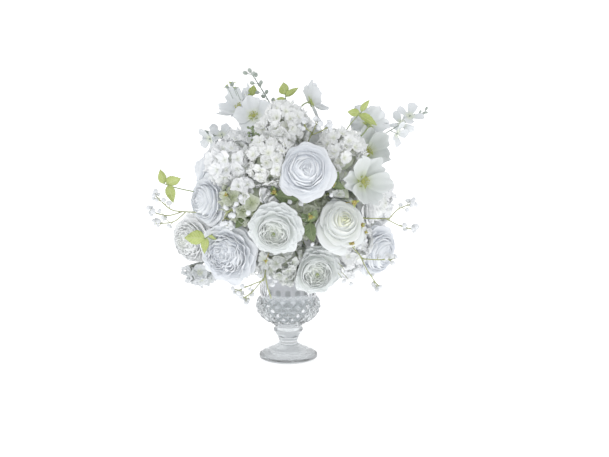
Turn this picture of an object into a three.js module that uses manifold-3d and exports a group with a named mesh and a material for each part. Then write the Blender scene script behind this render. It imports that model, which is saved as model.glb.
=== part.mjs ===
// A white floral table centrepiece: roses, peonies, ranunculus, hydrangea, open blossoms and airy
// sprays stuck in a foam ball, whose plug is seated in the neck of a pressed-glass footed vase.
// Millimetres, +Z up. The origin is on the vase's axis, at the underside of its foot; -Y is the front.
import * as THREE from "three";
import { mergeVertices } from "three/addons/utils/BufferGeometryUtils.js";
import Module from "manifold-3d";

const wasm = await Module();
wasm.setup();

// ---- Driving dimensions ------------------------------------------------------------------------
const GAP = 0.35; // clearance between two pieces that touch
const RIM_HEIGHT = 160; // the vase's rim above the table
const HUB = new THREE.Vector3(0, 0, 262); // the point inside the foam ball that every stem aims at
const BALL = new THREE.Vector3(0, 0, 289); // the dome of flowers' middle, which blooms face away from
const FOAM_RADIUS = 60;
const STEM_START = 36; // how far from the hub a stem's cut end lies, inside the foam
const STEM_RADIUS = 1.6;
const TWIG_RADIUS = 0.75; // a fine branch of a spray
const TWIG_SIDES = 3;
const PETAL_THICKNESS = 0.9;
const FACET_TOLERANCE = 0.2; // how far a grown piece's surface may move as its smallest facets are joined
const LEAF_THICKNESS = 0.8;
const GOLDEN_ANGLE = Math.PI * (3 - Math.sqrt(5));
const UP = new THREE.Vector3(0, 0, 1);

// ---- Finishes ----------------------------------------------------------------------------------
const finish = (color, roughness, extra = {}) =>
  new THREE.MeshStandardMaterial({ color, roughness, metalness: 0, ...extra });
const GLASS = finish(0xe4e8ee, 0.05, { transparent: true, opacity: 0.35 });
const FOAM = finish(0xf0f1ee, 0.9);
const BLUE_WHITE = finish(0xe6e9f4, 0.7);
const CREAM_WHITE = finish(0xeeefe6, 0.7);
const WHITE = finish(0xf2f3f2, 0.7);
const LIME_LEAF = finish(0xa9bd68, 0.6);
const DARK_LEAF = finish(0x6c7d54, 0.6);
const STEM_GREEN = finish(0x7f9160, 0.6);
const GREY_GREEN = finish(0x8d988c, 0.6);

// ---- Solids and meshes ---------------------------------------------------------------------------

/** The solid of a closed geometry, turned right side out if its faces point inwards. */
function solidOf(geometry) {
  const bare = new THREE.BufferGeometry().setAttribute("position", geometry.getAttribute("position"));
  if (geometry.index) bare.setIndex(geometry.index);
  const merged = mergeVertices(bare, 1e-4);
  const triVerts = new Uint32Array(merged.index.array);
  const vertProperties = new Float32Array(merged.attributes.position.array);
  const made = new wasm.Manifold(new wasm.Mesh({ numProp: 3, vertProperties, triVerts }));
  if (made.volume() > 0) return made;
  for (let i = 0; i < triVerts.length; i += 3) {
    [triVerts[i + 1], triVerts[i + 2]] = [triVerts[i + 2], triVerts[i + 1]];
  }
  return new wasm.Manifold(new wasm.Mesh({ numProp: 3, vertProperties, triVerts }));
}

/** A named mesh of a solid, with the mesh placed at `at` and its geometry around that point. */
function meshOf(name, solid, material, at) {
  const { vertProperties, triVerts, numProp, numVert } = solid.getMesh();
  const position = new Float32Array(numVert * 3);
  for (let i = 0; i < numVert; i += 1) {
    position.set(vertProperties.subarray(i * numProp, i * numProp + 3), i * 3);
  }
  const geometry = new THREE.BufferGeometry();
  geometry.setAttribute("position", new THREE.BufferAttribute(position, 3));
  geometry.setIndex(new THREE.BufferAttribute(new Uint32Array(triVerts), 1));
  geometry.translate(-at.x, -at.y, -at.z);
  geometry.computeVertexNormals();
  const mesh = new THREE.Mesh(geometry, material);
  mesh.name = name;
  mesh.position.copy(at);
  return mesh;
}

const joined = (solids) => solids.reduce((whole, solid) => whole.add(solid));

/** The largest connected body of a solid; any loose scrap is dropped. */
function largestBody(solid) {
  const bodies = solid.decompose();
  return bodies.reduce((best, body) => (body.volume() > best.volume() ? body : best));
}

/** The turn and move that put a local frame at `at`, with its +Z along `facing` and then rolled. */
function placement(at, facing, roll = 0) {
  const turn = new THREE.Quaternion().setFromUnitVectors(UP, facing.clone().normalize());
  turn.multiply(new THREE.Quaternion().setFromAxisAngle(UP, roll));
  return new THREE.Matrix4().compose(at, turn, new THREE.Vector3(1, 1, 1));
}

// ---- Small shapes --------------------------------------------------------------------------------

/**
 * A thin closed blade with `across` by `along` cells. `point(u, v)` gives its middle surface, with u
 * from -1 to 1 across it and v from 0 to 1 along it. Both faces are split into the same triangles.
 */
function blade(across, along, thickness, point) {
  const step = 0.02;
  const vertices = [];
  const columns = across + 1;
  for (const side of [0.5, -0.5]) {
    for (let row = 0; row <= along; row += 1) {
      for (let column = 0; column <= across; column += 1) {
        const u = (2 * column) / across - 1;
        const v = row / along;
        const alongU = point(u + step, v).sub(point(u - step, v));
        const alongV = point(u, v + step).sub(point(u, v - step));
        const normal = alongU.cross(alongV).normalize();
        vertices.push(...point(u, v).addScaledVector(normal, side * thickness));
      }
    }
  }
  const under = columns * (along + 1);
  const faces = [];
  const quad = (a, b, c, d) => faces.push(a, b, c, a, c, d);
  for (let row = 0; row < along; row += 1) {
    for (let column = 0; column < across; column += 1) {
      const a = row * columns + column;
      const [b, c, d] = [a + 1, a + columns + 1, a + columns];
      if ((row + column) % 2) {
        quad(a, b, c, d);
        quad(under + a, under + d, under + c, under + b);
      } else {
        quad(b, c, d, a);
        quad(under + b, under + a, under + d, under + c);
      }
    }
  }
  const border = [];
  for (let column = 0; column < across; column += 1) border.push(column);
  for (let row = 0; row < along; row += 1) border.push(row * columns + across);
  for (let column = across; column > 0; column -= 1) border.push(along * columns + column);
  for (let row = along; row > 0; row -= 1) border.push(row * columns);
  border.forEach((a, i) => {
    const b = border[(i + 1) % border.length];
    quad(b, a, under + a, under + b);
  });
  const geometry = new THREE.BufferGeometry();
  geometry.setAttribute("position", new THREE.BufferAttribute(new Float32Array(vertices), 3));
  geometry.setIndex(faces);
  return solidOf(geometry);
}

/** A closed tube through the points. `grow` moves its flats and its ends outwards. */
function tube(points, radius, sides, grow = 0) {
  const last = points.length - 1;
  const before = (i) => points[Math.max(i - 1, 0)];
  const after = (i) => points[Math.min(i + 1, last)];
  const out = radius + grow / Math.cos(Math.PI / sides);
  let normal = new THREE.Vector3(0.31, 0.23, 0.92);
  const rings = points.map((p, i) => {
    const along = after(i).clone().sub(before(i)).normalize();
    normal = normal.clone().addScaledVector(along, -normal.dot(along)).normalize();
    const side = along.clone().cross(normal);
    const shift = i === last ? grow : -grow;
    const middle = i && i !== last ? p : p.clone().addScaledVector(along, shift);
    return Array.from({ length: sides }, (_, k) => {
      const angle = (k / sides) * 2 * Math.PI;
      const corner = middle.clone().addScaledVector(normal, out * Math.cos(angle));
      return corner.addScaledVector(side, out * Math.sin(angle));
    });
  });
  const vertices = rings.flat().flatMap((p) => [p.x, p.y, p.z]);
  const faces = [];
  for (let k = 0; k < sides; k += 1) {
    const next = (k + 1) % sides;
    if (k > 1) faces.push(0, k, k - 1, last * sides, last * sides + k - 1, last * sides + k);
    for (let i = 0; i < last; i += 1) {
      const [a, b] = [i * sides + k, i * sides + next];
      faces.push(a, b, b + sides, a, b + sides, a + sides);
    }
  }
  const geometry = new THREE.BufferGeometry();
  geometry.setAttribute("position", new THREE.BufferAttribute(new Float32Array(vertices), 3));
  geometry.setIndex(faces);
  return solidOf(geometry);
}

// ---- Petals and blooms -----------------------------------------------------------------------------

const turnBetween = (a, b) => {
  const turn = Math.atan2(b.y, b.x) - Math.atan2(a.y, a.x);
  return turn - 2 * Math.PI * Math.round(turn / (2 * Math.PI));
};
const forward = (a, b) => {
  const turn = turnBetween(a, b);
  return turn > 0 ? turn : turn + 2 * Math.PI;
};

/** The triangles between two rings round the Z axis, whose points may differ in number. */
function stitch(lower, upper) {
  const [n, m] = [lower.length, upper.length];
  const offset = (k) => Math.abs(turnBetween(lower[0], upper[k]));
  let shift = 0;
  for (let k = 1; k < m; k += 1) if (offset(k) < offset(shift)) shift = k;
  const low = (i) => lower[i % n];
  const high = (j) => upper[(j + shift) % m];
  const faces = [];
  let [i, j] = [0, 0];
  let [angleLow, angleHigh] = [0, turnBetween(low(0), high(0))];
  while (i < n || j < m) {
    const nextLow = angleLow + forward(low(i), low(i + 1));
    const nextHigh = angleHigh + forward(high(j), high(j + 1));
    const level = Math.abs(nextLow - nextHigh) < 1e-6 && i < n && j < m;
    const reach = (p, q) => Math.hypot(p.x, p.y) + Math.hypot(q.x, q.y);
    const shorter = reach(low(i + 1), high(j)) <= reach(low(i), high(j + 1));
    const lowFirst = level ? shorter : nextLow < nextHigh;
    if (j === m || (i < n && lowFirst)) {
      faces.push([low(i), low(i + 1), high(j)]);
      i += 1;
      angleLow = nextLow;
    } else {
      faces.push([low(i), high(j + 1), high(j)]);
      j += 1;
      angleHigh = nextHigh;
    }
  }
  return faces;
}

/** A closed solid through rings round the Z axis, from a point below them to a point above them. */
function loft(bottom, rings, top) {
  const faces = [];
  const around = (ring, i) => ring[(i + 1) % ring.length];
  rings[0].forEach((p, i, ring) => faces.push([bottom, around(ring, i), p]));
  for (let k = 0; k + 1 < rings.length; k += 1) faces.push(...stitch(rings[k], rings[k + 1]));
  rings[rings.length - 1].forEach((p, i, ring) => faces.push([p, around(ring, i), top]));
  const coordinates = faces.flat().flatMap((p) => [p.x, p.y, p.z]);
  const geometry = new THREE.BufferGeometry();
  geometry.setAttribute("position", new THREE.BufferAttribute(new Float32Array(coordinates), 3));
  return solidOf(geometry);
}

/** A plain ring of points at one radius and height. */
const plainRing = ([radius, height], count, turn = 0) =>
  Array.from({ length: count }, (_, i) => {
    const angle = ((i + turn) / count) * 2 * Math.PI;
    return new THREE.Vector3(radius * Math.cos(angle), radius * Math.sin(angle), height);
  });

// Where along its width each point of a petal's edge lies, and how far it stands up from the notch.
const EDGES = {
  wide: [[0, 0], [0.22, 0.9], [0.5, 1], [0.78, 0.94]],
  frilled: [[0, 0], [0.24, 1], [0.5, 0.72], [0.76, 0.96]],
  plain: [[0, 0], [0.27, 0.95], [0.73, 1]],
  small: [[0, 0], [0.5, 1]],
  open: [[0, 0], [0.15, 0.78], [0.5, 1], [0.85, 0.82]],
};

/**
 * The edge of one layer of petals: each petal rises from a notch to its lip, and one of its sides
 * stands a little further out than the other, so that it laps over its neighbour.
 */
function petalRing({ petals, edge = "plain", lip, notch, turn = 0, lap = 0.05 }, radius, inset) {
  const points = [];
  for (let i = 0; i < petals; i += 1) {
    EDGES[edge].forEach(([across, rise], k) => {
      const angle = ((i + across + turn) / petals) * 2 * Math.PI;
      const uneven = 1 + 0.04 * Math.sin(5 * i + 3 * k + 7 * turn);
      const lapped = k ? 1 + lap * (2 * across - 1) : 1;
      const out = radius * (notch[0] + (lip[0] - notch[0]) * rise) * lapped - inset;
      const up = radius * (notch[1] + (lip[1] - notch[1]) * rise * uneven) - inset * 0.2;
      points.push(new THREE.Vector3(out * Math.cos(angle), out * Math.sin(angle), up));
    });
  }
  return points;
}

/** A bloom of petal layers one inside another, facing +Z with the middle of its bulk at the origin. */
function rosette({ belly, layers, heart }, radius) {
  const scaled = ([out, up]) => [out * radius, up * radius];
  const rings = [plainRing(scaled([0.16, belly[1] - 0.2]), 5), plainRing(scaled(belly), 7)];
  for (const layer of layers) {
    rings.push(petalRing(layer, radius, 0));
    if (!layer.valley) continue;
    rings.push(petalRing(layer, radius, PETAL_THICKNESS));
    rings.push(plainRing(scaled(layer.valley), layer.petals + 3, layer.turn));
  }
  const bottom = new THREE.Vector3(0, 0, (belly[1] - 0.24) * radius);
  return loft(bottom, rings, new THREE.Vector3(0, 0, heart * radius));
}

/** A four-petalled star with raised tips, whose root is drawn down to a point. `grow` fattens it. */
function floret(at, facing, radius, depth, { petals, notch }, roll, grow = 0) {
  const edge = (rise) =>
    Array.from({ length: petals * 2 }, (_, i) => {
      const angle = (i / petals) * Math.PI;
      const reach = (i % 2 ? radius * notch : radius) + 1.5 * grow;
      const up = (i % 2 ? 0 : radius * 0.32) + rise;
      return new THREE.Vector3(reach * Math.cos(angle), reach * Math.sin(angle), up);
    });
  const rings = grow ? [edge(-grow), edge(grow)] : [edge(0)];
  const [bottom, top] = [-depth - 2 * grow, radius * 0.06 + grow].map((up) => new THREE.Vector3(0, 0, up));
  return loft(bottom, rings, top).transform(placement(at, facing, roll).elements);
}

/**
 * A round head of florets, spread evenly over the part of a small core that can be seen. Its walls
 * cut the core, and a floret too close to one of them is drawn smaller or left out.
 */
function cluster({ kind, at, facing, roll, radius }, walls) {
  const { florets, size, cover } = kind;
  const place = placement(at, facing, roll);
  const core = solidOf(new THREE.IcosahedronGeometry(radius * 0.74, 0).applyMatrix4(place));
  const parts = [keptWithin(core, walls)];
  for (let i = 0; i < florets; i += 1) {
    const height = 1 - ((i + 0.3) / florets) * cover;
    const flat = Math.sqrt(1 - height * height);
    const angle = i * GOLDEN_ANGLE;
    const way = new THREE.Vector3(flat * Math.cos(angle), flat * Math.sin(angle), height);
    way.transformDirection(place);
    const middle = at.clone().addScaledVector(way, radius * (i % 2 ? 0.88 : 0.78));
    const toWalls = walls.map(({ normal, offset }) => offset - normal.dot(middle));
    const room = Math.min(...toWalls, radius * size);
    if (room > radius * size * 0.5) parts.push(floret(middle, way, room, radius * 0.4, kind, angle));
  }
  return joined(parts);
}

// Each pair is [radius, height] in bloom radii, from the outermost layer inwards.
const ROSE = {
  belly: [0.6, -0.3],
  heart: 0.4,
  layers: [
    { petals: 5, edge: "wide", lip: [1, 0], notch: [0.74, -0.16], valley: [0.58, -0.06], lap: 0.07 },
    { petals: 5, lip: [0.78, 0.3], notch: [0.66, 0.06], valley: [0.44, 0.1], turn: 0.5, lap: 0.07 },
    { petals: 4, lip: [0.52, 0.44], notch: [0.45, 0.22], valley: [0.3, 0.24], turn: 0.2, lap: 0.1 },
    { petals: 3, edge: "small", lip: [0.25, 0.52], notch: [0.24, 0.4], turn: 0.6 },
  ],
};
const PEONY = {
  belly: [0.62, -0.3],
  heart: 0.42,
  layers: [
    { petals: 5, edge: "frilled", lip: [1, 0.02], notch: [0.76, -0.14], valley: [0.6, -0.04] },
    { petals: 5, edge: "frilled", lip: [0.8, 0.32], notch: [0.66, 0.1],
      valley: [0.46, 0.12], turn: 0.4 },
    { petals: 5, lip: [0.52, 0.46], notch: [0.44, 0.26], valley: [0.28, 0.24], turn: 0.1 },
    { petals: 4, edge: "small", lip: [0.27, 0.54], notch: [0.17, 0.32], turn: 0.5 },
  ],
};
const RANUNCULUS = {
  belly: [0.64, -0.28],
  heart: 0.36,
  layers: [
    { petals: 6, edge: "plain", lip: [1, -0.02], notch: [0.8, -0.12],
      valley: [0.64, -0.04], lap: 0.06 },
    { petals: 5, edge: "wide", lip: [0.84, 0.24], notch: [0.74, 0.08], valley: [0.54, 0.1], turn: 0.5 },
    { petals: 5, lip: [0.6, 0.38], notch: [0.52, 0.22], valley: [0.36, 0.16], turn: 0.2, lap: 0.07 },
    { petals: 4, edge: "small", lip: [0.34, 0.4], notch: [0.28, 0.3], turn: 0.6 },
  ],
};
const STAMENS = { petals: 6, edge: "small", lip: [0.22, 0.24], notch: [0.15, 0.1], turn: 0.3 };
const BLOSSOM = {
  belly: [0.3, -0.1],
  heart: 0.14,
  layers: [{ petals: 5, edge: "open", lip: [1, 0.22], notch: [0.3, 0.02], valley: [0.2, 0.04] }, STAMENS],
};
const CUP_BLOSSOM = {
  belly: [0.42, -0.24],
  heart: 0.12,
  layers: [
    { petals: 6, edge: "open", lip: [0.98, 0.42], notch: [0.5, -0.04], valley: [0.3, -0.06] },
    STAMENS,
  ],
};
const HYDRANGEA = { florets: 9, petals: 4, notch: 0.6, size: 0.45, cover: 1.1 };
const BACK_HYDRANGEA = { florets: 9, petals: 4, notch: 0.62, size: 0.42, cover: 1.1 };
const FILLER = { florets: 8, petals: 4, notch: 0.64, size: 0.5, cover: 0.95 };
const STOCK = { florets: 6, petals: 4, notch: 0.6, size: 0.55, cover: 1 };

// ---- Where the blooms sit ---------------------------------------------------------------------------
// `at` is the middle of a bloom and `radius` its size. It faces away from the middle of the dome
// unless `face` says otherwise.
const BLOOMS = [
  { name: "rose_upper", kind: ROSE, at: [29, -137, 341], radius: 46, color: BLUE_WHITE,
    face: [0.1, -1, 0.3] },
  { name: "ranunculus_middle", kind: RANUNCULUS, at: [-19, -152, 247], radius: 42, color: CREAM_WHITE },
  { name: "rose_right", kind: ROSE, at: [87, -120, 256], radius: 43, color: CREAM_WHITE,
    face: [0.45, -1, 0.3] },
  { name: "ranunculus_low", kind: RANUNCULUS, at: [47, -99, 171], radius: 42, color: CREAM_WHITE,
    face: [0.15, -1, -0.2] },
  { name: "peony_left", kind: PEONY, at: [-98, -96, 200], radius: 50, color: BLUE_WHITE,
    face: [-0.4, -1, -0.1] },
  { name: "rose_left", kind: ROSE, at: [-133, -62, 282], radius: 43, color: BLUE_WHITE,
    face: [-0.8, -0.7, 0.05] },
  { name: "peony_far_left", kind: PEONY, at: [-164, -24, 210], radius: 42, color: WHITE,
    face: [-0.7, -0.8, -0.1] },
  { name: "rose_left_upper", kind: ROSE, at: [-134, 10, 324], radius: 45, color: BLUE_WHITE },
  { name: "carnation_right", kind: PEONY, at: [142, -34, 276], radius: 42, color: WHITE },
  { name: "peony_low_right", kind: PEONY, at: [152, -20, 190], radius: 46, color: BLUE_WHITE,
    face: [0.8, -0.8, -0.15] },
  { name: "hydrangea_left", kind: HYDRANGEA, at: [-86, -80, 346], radius: 48, color: WHITE },
  { name: "hydrangea_middle", kind: HYDRANGEA, at: [-27, -108, 350], radius: 45, color: CREAM_WHITE },
  { name: "hydrangea_centre", kind: HYDRANGEA, at: [-62, -102, 292], radius: 48, color: WHITE },
  { name: "hydrangea_top", kind: HYDRANGEA, at: [-8, -58, 400], radius: 48, color: CREAM_WHITE },
  { name: "hydrangea_right", kind: HYDRANGEA, at: [80, -62, 360], radius: 50, color: CREAM_WHITE },
  { name: "hydrangea_inner", kind: FILLER, at: [28, -78, 264], radius: 54, color: CREAM_WHITE,
    face: [0.1, -1, 0.1] },
  { name: "hydrangea_low_left", kind: FILLER, at: [-68, -56, 204], radius: 54, color: WHITE,
    face: [-0.4, -1, -0.4] },
  { name: "hydrangea_low", kind: FILLER, at: [-8, -86, 190], radius: 46, color: CREAM_WHITE,
    face: [0, -1, -0.4] },
  { name: "hydrangea_low_right", kind: FILLER, at: [94, -34, 206], radius: 54, color: WHITE,
    face: [0.6, -1, -0.3] },
  { name: "stock_low_left", kind: STOCK, at: [-154, -28, 156], radius: 25, color: WHITE },
  { name: "blossom_top_left", kind: CUP_BLOSSOM, at: [-84, 6, 436], radius: 38, color: WHITE,
    face: [-0.7, -0.5, 0.8] },
  { name: "blossom_top", kind: BLOSSOM, at: [-56, -42, 422], radius: 34, color: BLUE_WHITE,
    face: [-0.1, -1, 0.5] },
  { name: "lily_right", kind: CUP_BLOSSOM, at: [136, -6, 360], radius: 40, color: CREAM_WHITE,
    face: [0.4, -1, 0.4] },
  { name: "blossom_right", kind: CUP_BLOSSOM, at: [128, -88, 318], radius: 44, color: WHITE,
    face: [0.5, -1, 0.15] },
  { name: "rose_back_left", kind: ROSE, at: [-108, 90, 252], radius: 56, color: BLUE_WHITE },
  { name: "rose_back", kind: ROSE, at: [-24, 140, 290], radius: 56, color: CREAM_WHITE },
  { name: "rose_back_right", kind: ROSE, at: [76, 120, 248], radius: 56, color: BLUE_WHITE },
  { name: "peony_back_top", kind: PEONY, at: [10, 56, 386], radius: 54, color: WHITE },
  { name: "peony_back_low", kind: PEONY, at: [-14, 108, 206], radius: 58, color: BLUE_WHITE },
  { name: "hydrangea_crown", kind: FILLER, at: [-32, 26, 370], radius: 46, color: WHITE,
    face: [-0.4, 0.3, 1] },
  { name: "hydrangea_back_left", kind: BACK_HYDRANGEA, at: [-80, 86, 332], radius: 58, color: WHITE },
  { name: "hydrangea_back_right", kind: BACK_HYDRANGEA, at: [64, 94, 346], radius: 56, color: CREAM_WHITE },
  { name: "hydrangea_back_low_left", kind: FILLER, at: [-88, 52, 192], radius: 58, color: CREAM_WHITE },
  { name: "hydrangea_back_low_right", kind: FILLER, at: [86, 56, 188], radius: 58, color: WHITE },
  { name: "hydrangea_side_left", kind: FILLER, at: [-114, 16, 256], radius: 50, color: WHITE },
  { name: "hydrangea_side_right", kind: FILLER, at: [126, 34, 266], radius: 56, color: WHITE },
];

// ---- Sprays -----------------------------------------------------------------------------------------
const point = (coordinates) => new THREE.Vector3(...coordinates);

/** Where a stem through `exit` starts, inside the foam. */
const rootFor = (exit) => exit.clone().sub(HUB).setLength(STEM_START).add(HUB);

/** A stem from the foam through the given points. */
const stemThrough = (points, grow, sides = 3) =>
  tube([rootFor(points[0]), ...points], STEM_RADIUS, sides, grow);

/** A thread-like stalk with a tiny bloom or bud at its end, in one piece. */
function pin(at, way, length, bloom, height, grow) {
  const stalk = TWIG_RADIUS + 2 * grow;
  const rings = [
    plainRing([stalk, -grow], 3),
    plainRing([stalk, length - 1.5 * grow], 3),
    plainRing([bloom + 2.5 * grow, length + height * 0.6], 3, 0.5),
  ];
  const [bottom, top] = [-grow * 1.01, length + height + 2 * grow].map((up) => new THREE.Vector3(0, 0, up));
  return loft(bottom, rings, top).transform(placement(at, way).elements);
}

/** A fine forked spray: branches leave the stem in turn, and each carries tiny blooms near its tip. */
function airySpray({ stem, branches, reach = 10, bloom = 3.2 }, grow) {
  const path = stem.map(point);
  const [before, fork] = path.slice(-2);
  const parts = [stemThrough(path, grow)];
  branches.forEach((branch, k) => {
    const [bend, tip] = branch.map(point);
    const onward = tip.clone().sub(bend).normalize();
    const start = fork.clone().lerp(before, 0.02 + (k * 6) / fork.distanceTo(before));
    parts.push(tube([start, bend, tip], TWIG_RADIUS, TWIG_SIDES, grow));
    parts.push(pin(tip.clone().addScaledVector(onward, -1), onward, 1.5, bloom, bloom * 1.2, grow));
    const aside = new THREE.Vector3(0.3, -0.5, k % 2 ? -1 : 1);
    const way = aside.addScaledVector(onward, 0.8);
    parts.push(pin(bend.clone().lerp(tip, 0.45), way, reach, bloom, bloom * 1.2, grow));
  });
  return joined(parts);
}

/** A stem with egg-shaped buds on short stalks to either side and one at its tip. */
function budSpray({ stem, buds, bud = [2.7, 8], stalk = 5 }, grow) {
  const path = stem.map(point);
  const [from, tip] = path.slice(-2);
  const along = tip.clone().sub(from);
  const way = along.clone().normalize();
  const parts = [stemThrough(path, grow), pin(tip, along, 1, bud[0], bud[1], grow)];
  const aside = new THREE.Vector3().crossVectors(along, new THREE.Vector3(0, 1, 0)).normalize();
  for (let i = 0; i < buds; i += 1) {
    const start = from.clone().addScaledVector(along, (i + 0.5) / buds);
    const sideways = aside.clone().multiplyScalar(i % 2 ? 1 : -1).applyAxisAngle(way, i);
    parts.push(pin(start, sideways.addScaledVector(way, 0.8), stalk, bud[0], bud[1], grow));
  }
  return joined(parts);
}

/** One leaf with a toothed edge, folded a little along its rib and arched. */
function leaf(at, facing, length, width, roll, grow) {
  const rows = 4;
  const shape = (u, v) => {
    const tooth = 1 + 0.08 * Math.cos(v * rows * Math.PI);
    const swell = Math.sin(Math.PI * Math.min(Math.max(v, 0), 0.97) ** 0.8);
    const half = (0.09 + swell) * 0.46 * width * tooth + 1.5 * grow;
    const drop = -0.18 * length * v * v + Math.abs(u) * half * 0.3;
    return new THREE.Vector3(u * half, drop, v * (length + 3 * grow) - grow);
  };
  const solid = blade(2, rows, LEAF_THICKNESS + 2 * grow, shape);
  const place = placement(at, facing, roll);
  return solid.transform(place.elements);
}

/** A stem with a few leaves from its tip. Each leaf is its direction, length, width and roll. */
function leafSpray({ stem, leaves }, grow) {
  const path = stem.map(point);
  const tip = path[path.length - 1];
  const parts = [stemThrough(path, grow)];
  const back = path[path.length - 2] ?? HUB;
  leaves.forEach(([facing, length, width, roll], i) => {
    const at = tip.clone().lerp(back, (3.5 * i) / tip.distanceTo(back));
    parts.push(leaf(at, point(facing), length, width, roll, grow));
  });
  return joined(parts);
}

const SPIKE_FLORET = { petals: 4, notch: 0.42 };

/** A spike of small four-petalled flowers up a stem, with closed buds at its tip. */
function flowerSpike({ stem, florets, size, buds = 3 }, grow) {
  const path = stem.map(point);
  const [from, tip] = path.slice(-2);
  const along = tip.clone().sub(from);
  const way = along.clone().normalize();
  const parts = [stemThrough(path, grow)];
  const aside = new THREE.Vector3().crossVectors(along, new THREE.Vector3(0, 1, 0)).normalize();
  for (let i = 0; i < florets; i += 1) {
    const outward = aside.clone().applyAxisAngle(way, i * 2.4).addScaledVector(way, 0.6).normalize();
    const foot = from.clone().addScaledVector(along, (i / florets) * 0.8);
    const at = foot.addScaledVector(outward, size * 0.55);
    parts.push(floret(at, outward, size, size * 0.55 + 1, SPIKE_FLORET, i, grow));
  }
  for (let i = 0; i < buds; i += 1) {
    const outward = aside.clone().applyAxisAngle(way, i * 2.1).addScaledVector(way, 1.4).normalize();
    parts.push(pin(tip.clone().addScaledVector(way, -5 * i), outward, 1, 2.6, 9, grow));
  }
  return joined(parts);
}

const SPRAYS = [
  { name: "buds_top", make: budSpray, color: GREY_GREEN, buds: 8,
    stem: [[-14, 8, 380], [-27, 10, 432], [-61, 0, 490]] },
  { name: "buds_middle", make: budSpray, color: GREY_GREEN, buds: 5, bud: [2.2, 4], stalk: 6,
    stem: [[-47, -70, 350], [-50, -96, 384], [-56, -112, 404]] },
  { name: "flower_spike_right", make: flowerSpike, color: WHITE, florets: 4, size: 17,
    stem: [[118, 14, 346], [160, 16, 384], [232, 18, 424]] },
  { name: "flower_spike_left", make: flowerSpike, color: WHITE, florets: 4, size: 19, buds: 2,
    stem: [[-70, 6, 352], [-102, 6, 374], [-142, 4, 390]] },
  { name: "baby_breath_top", make: airySpray, color: WHITE,
    stem: [[32, -66, 374], [40, -84, 398]],
    branches: [[[34, -92, 412], [28, -96, 426]], [[52, -92, 412], [62, -96, 424]]] },
  { name: "baby_breath_left", make: airySpray, color: WHITE,
    stem: [[-126, -52, 262], [-178, -84, 268]],
    branches: [[[-192, -94, 274], [-216, -92, 296]], [[-196, -90, 262], [-222, -88, 268]],
      [[-186, -90, 252], [-214, -84, 248]]] },
  { name: "baby_breath_right", make: airySpray, color: WHITE,
    stem: [[120, -60, 254], [168, -84, 256]],
    branches: [[[182, -84, 272], [204, -80, 280]], [[184, -80, 244], [208, -74, 236]]] },
  { name: "baby_breath_low_right", make: airySpray, color: WHITE,
    stem: [[88, -84, 226], [124, -104, 192]],
    branches: [[[146, -108, 192], [172, -96, 190]], [[132, -108, 172], [148, -100, 148]]] },
  { name: "baby_breath_low_left", make: airySpray, color: WHITE,
    stem: [[-46, -80, 202], [-56, -120, 160]],
    branches: [[[-66, -126, 146], [-86, -122, 138]], [[-64, -122, 136], [-79, -114, 120]],
      [[-48, -126, 146], [-34, -122, 124]]] },
  { name: "baby_breath_centre", make: airySpray, color: WHITE,
    stem: [[-84, -70, 252], [-102, -112, 262]],
    branches: [[[-98, -126, 270], [-90, -136, 278]], [[-104, -124, 258], [-98, -136, 254]]] },
  { name: "leaves_left", make: leafSpray, color: LIME_LEAF,
    stem: [[-112, -34, 286], [-176, -60, 302], [-202, -72, 312]],
    leaves: [[[-0.3, -0.2, 1], 27, 15, 0.4], [[0.9, -0.3, 0.5], 30, 20, 0.2],
      [[0.3, -0.2, -1], 30, 17, 0.4]] },
  { name: "leaves_low_left", make: leafSpray, color: LIME_LEAF,
    stem: [[-96, -62, 240], [-136, -104, 232]],
    leaves: [[[-1, -0.3, 0.3], 34, 26, 0.3], [[-0.2, -0.3, -1], 26, 15, 0.3]] },
  { name: "leaves_top", make: leafSpray, color: LIME_LEAF,
    stem: [[2, -12, 392], [-4, -16, 448]],
    leaves: [[[-0.2, -0.3, 1], 25, 20, 0.4], [[1, -0.2, 0.9], 27, 11, 0.2],
      [[-1, -0.3, -0.1], 24, 9, 0.2]] },
  { name: "leaves_right", make: leafSpray, color: LIME_LEAF,
    stem: [[74, -26, 352], [100, -40, 402], [122, -44, 428]],
    leaves: [[[0.5, -0.3, 1], 26, 12, 0.4], [[-1, -0.4, 0.2], 25, 14, 0.2],
      [[1, -0.3, -0.4], 36, 18, 0.2]] },
  { name: "leaves_inner_upper", make: leafSpray, color: DARK_LEAF,
    stem: [[-6, -84, 292], [-10, -112, 300]],
    leaves: [[[1, -0.5, 0.3], 30, 26, 0.3], [[-0.4, -0.9, 0.2], 28, 22, 0.2]] },
  { name: "leaves_inner_right", make: leafSpray, color: DARK_LEAF,
    stem: [[62, -76, 304], [72, -96, 312]],
    leaves: [[[-0.5, -0.8, 0.4], 28, 22, 0.2], [[0.8, -0.6, -0.3], 28, 22, 0.3]] },
  { name: "leaves_inner_middle", make: leafSpray, color: DARK_LEAF,
    stem: [[30, -82, 252], [34, -108, 250]],
    leaves: [[[0.3, -0.8, 0.6], 30, 24, 0.2], [[-0.1, -0.8, -0.7], 30, 22, 0.2]] },
  { name: "leaves_back", make: leafSpray, color: LIME_LEAF,
    stem: [[-42, 96, 300], [-58, 148, 316]],
    leaves: [[[-0.6, 0.6, 0.8], 38, 22, 0.2], [[0.3, 0.9, 0.7], 34, 18, 0.3]] },
];

// Blooms that stand on a visible stem of their own, beyond the dome.
const TALL_BLOSSOMS = [
  { name: "blossom_tall", kind: BLOSSOM, at: [40, -22, 444], radius: 34, color: WHITE,
    face: [0.94, -0.35, 0.05],
    stem: [[8, -30, 388], [12, -30, 420], [26, -25, 439]] },
  { name: "blossom_turned", kind: BLOSSOM, at: [136, -2, 406], radius: 36, color: WHITE,
    face: [0.15, 0.8, 0.5],
    stem: [[92, -10, 358], [120, -22, 384], [133, -14, 398]] },
];

// ---- Vase and foam ------------------------------------------------------------------------------------

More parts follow.
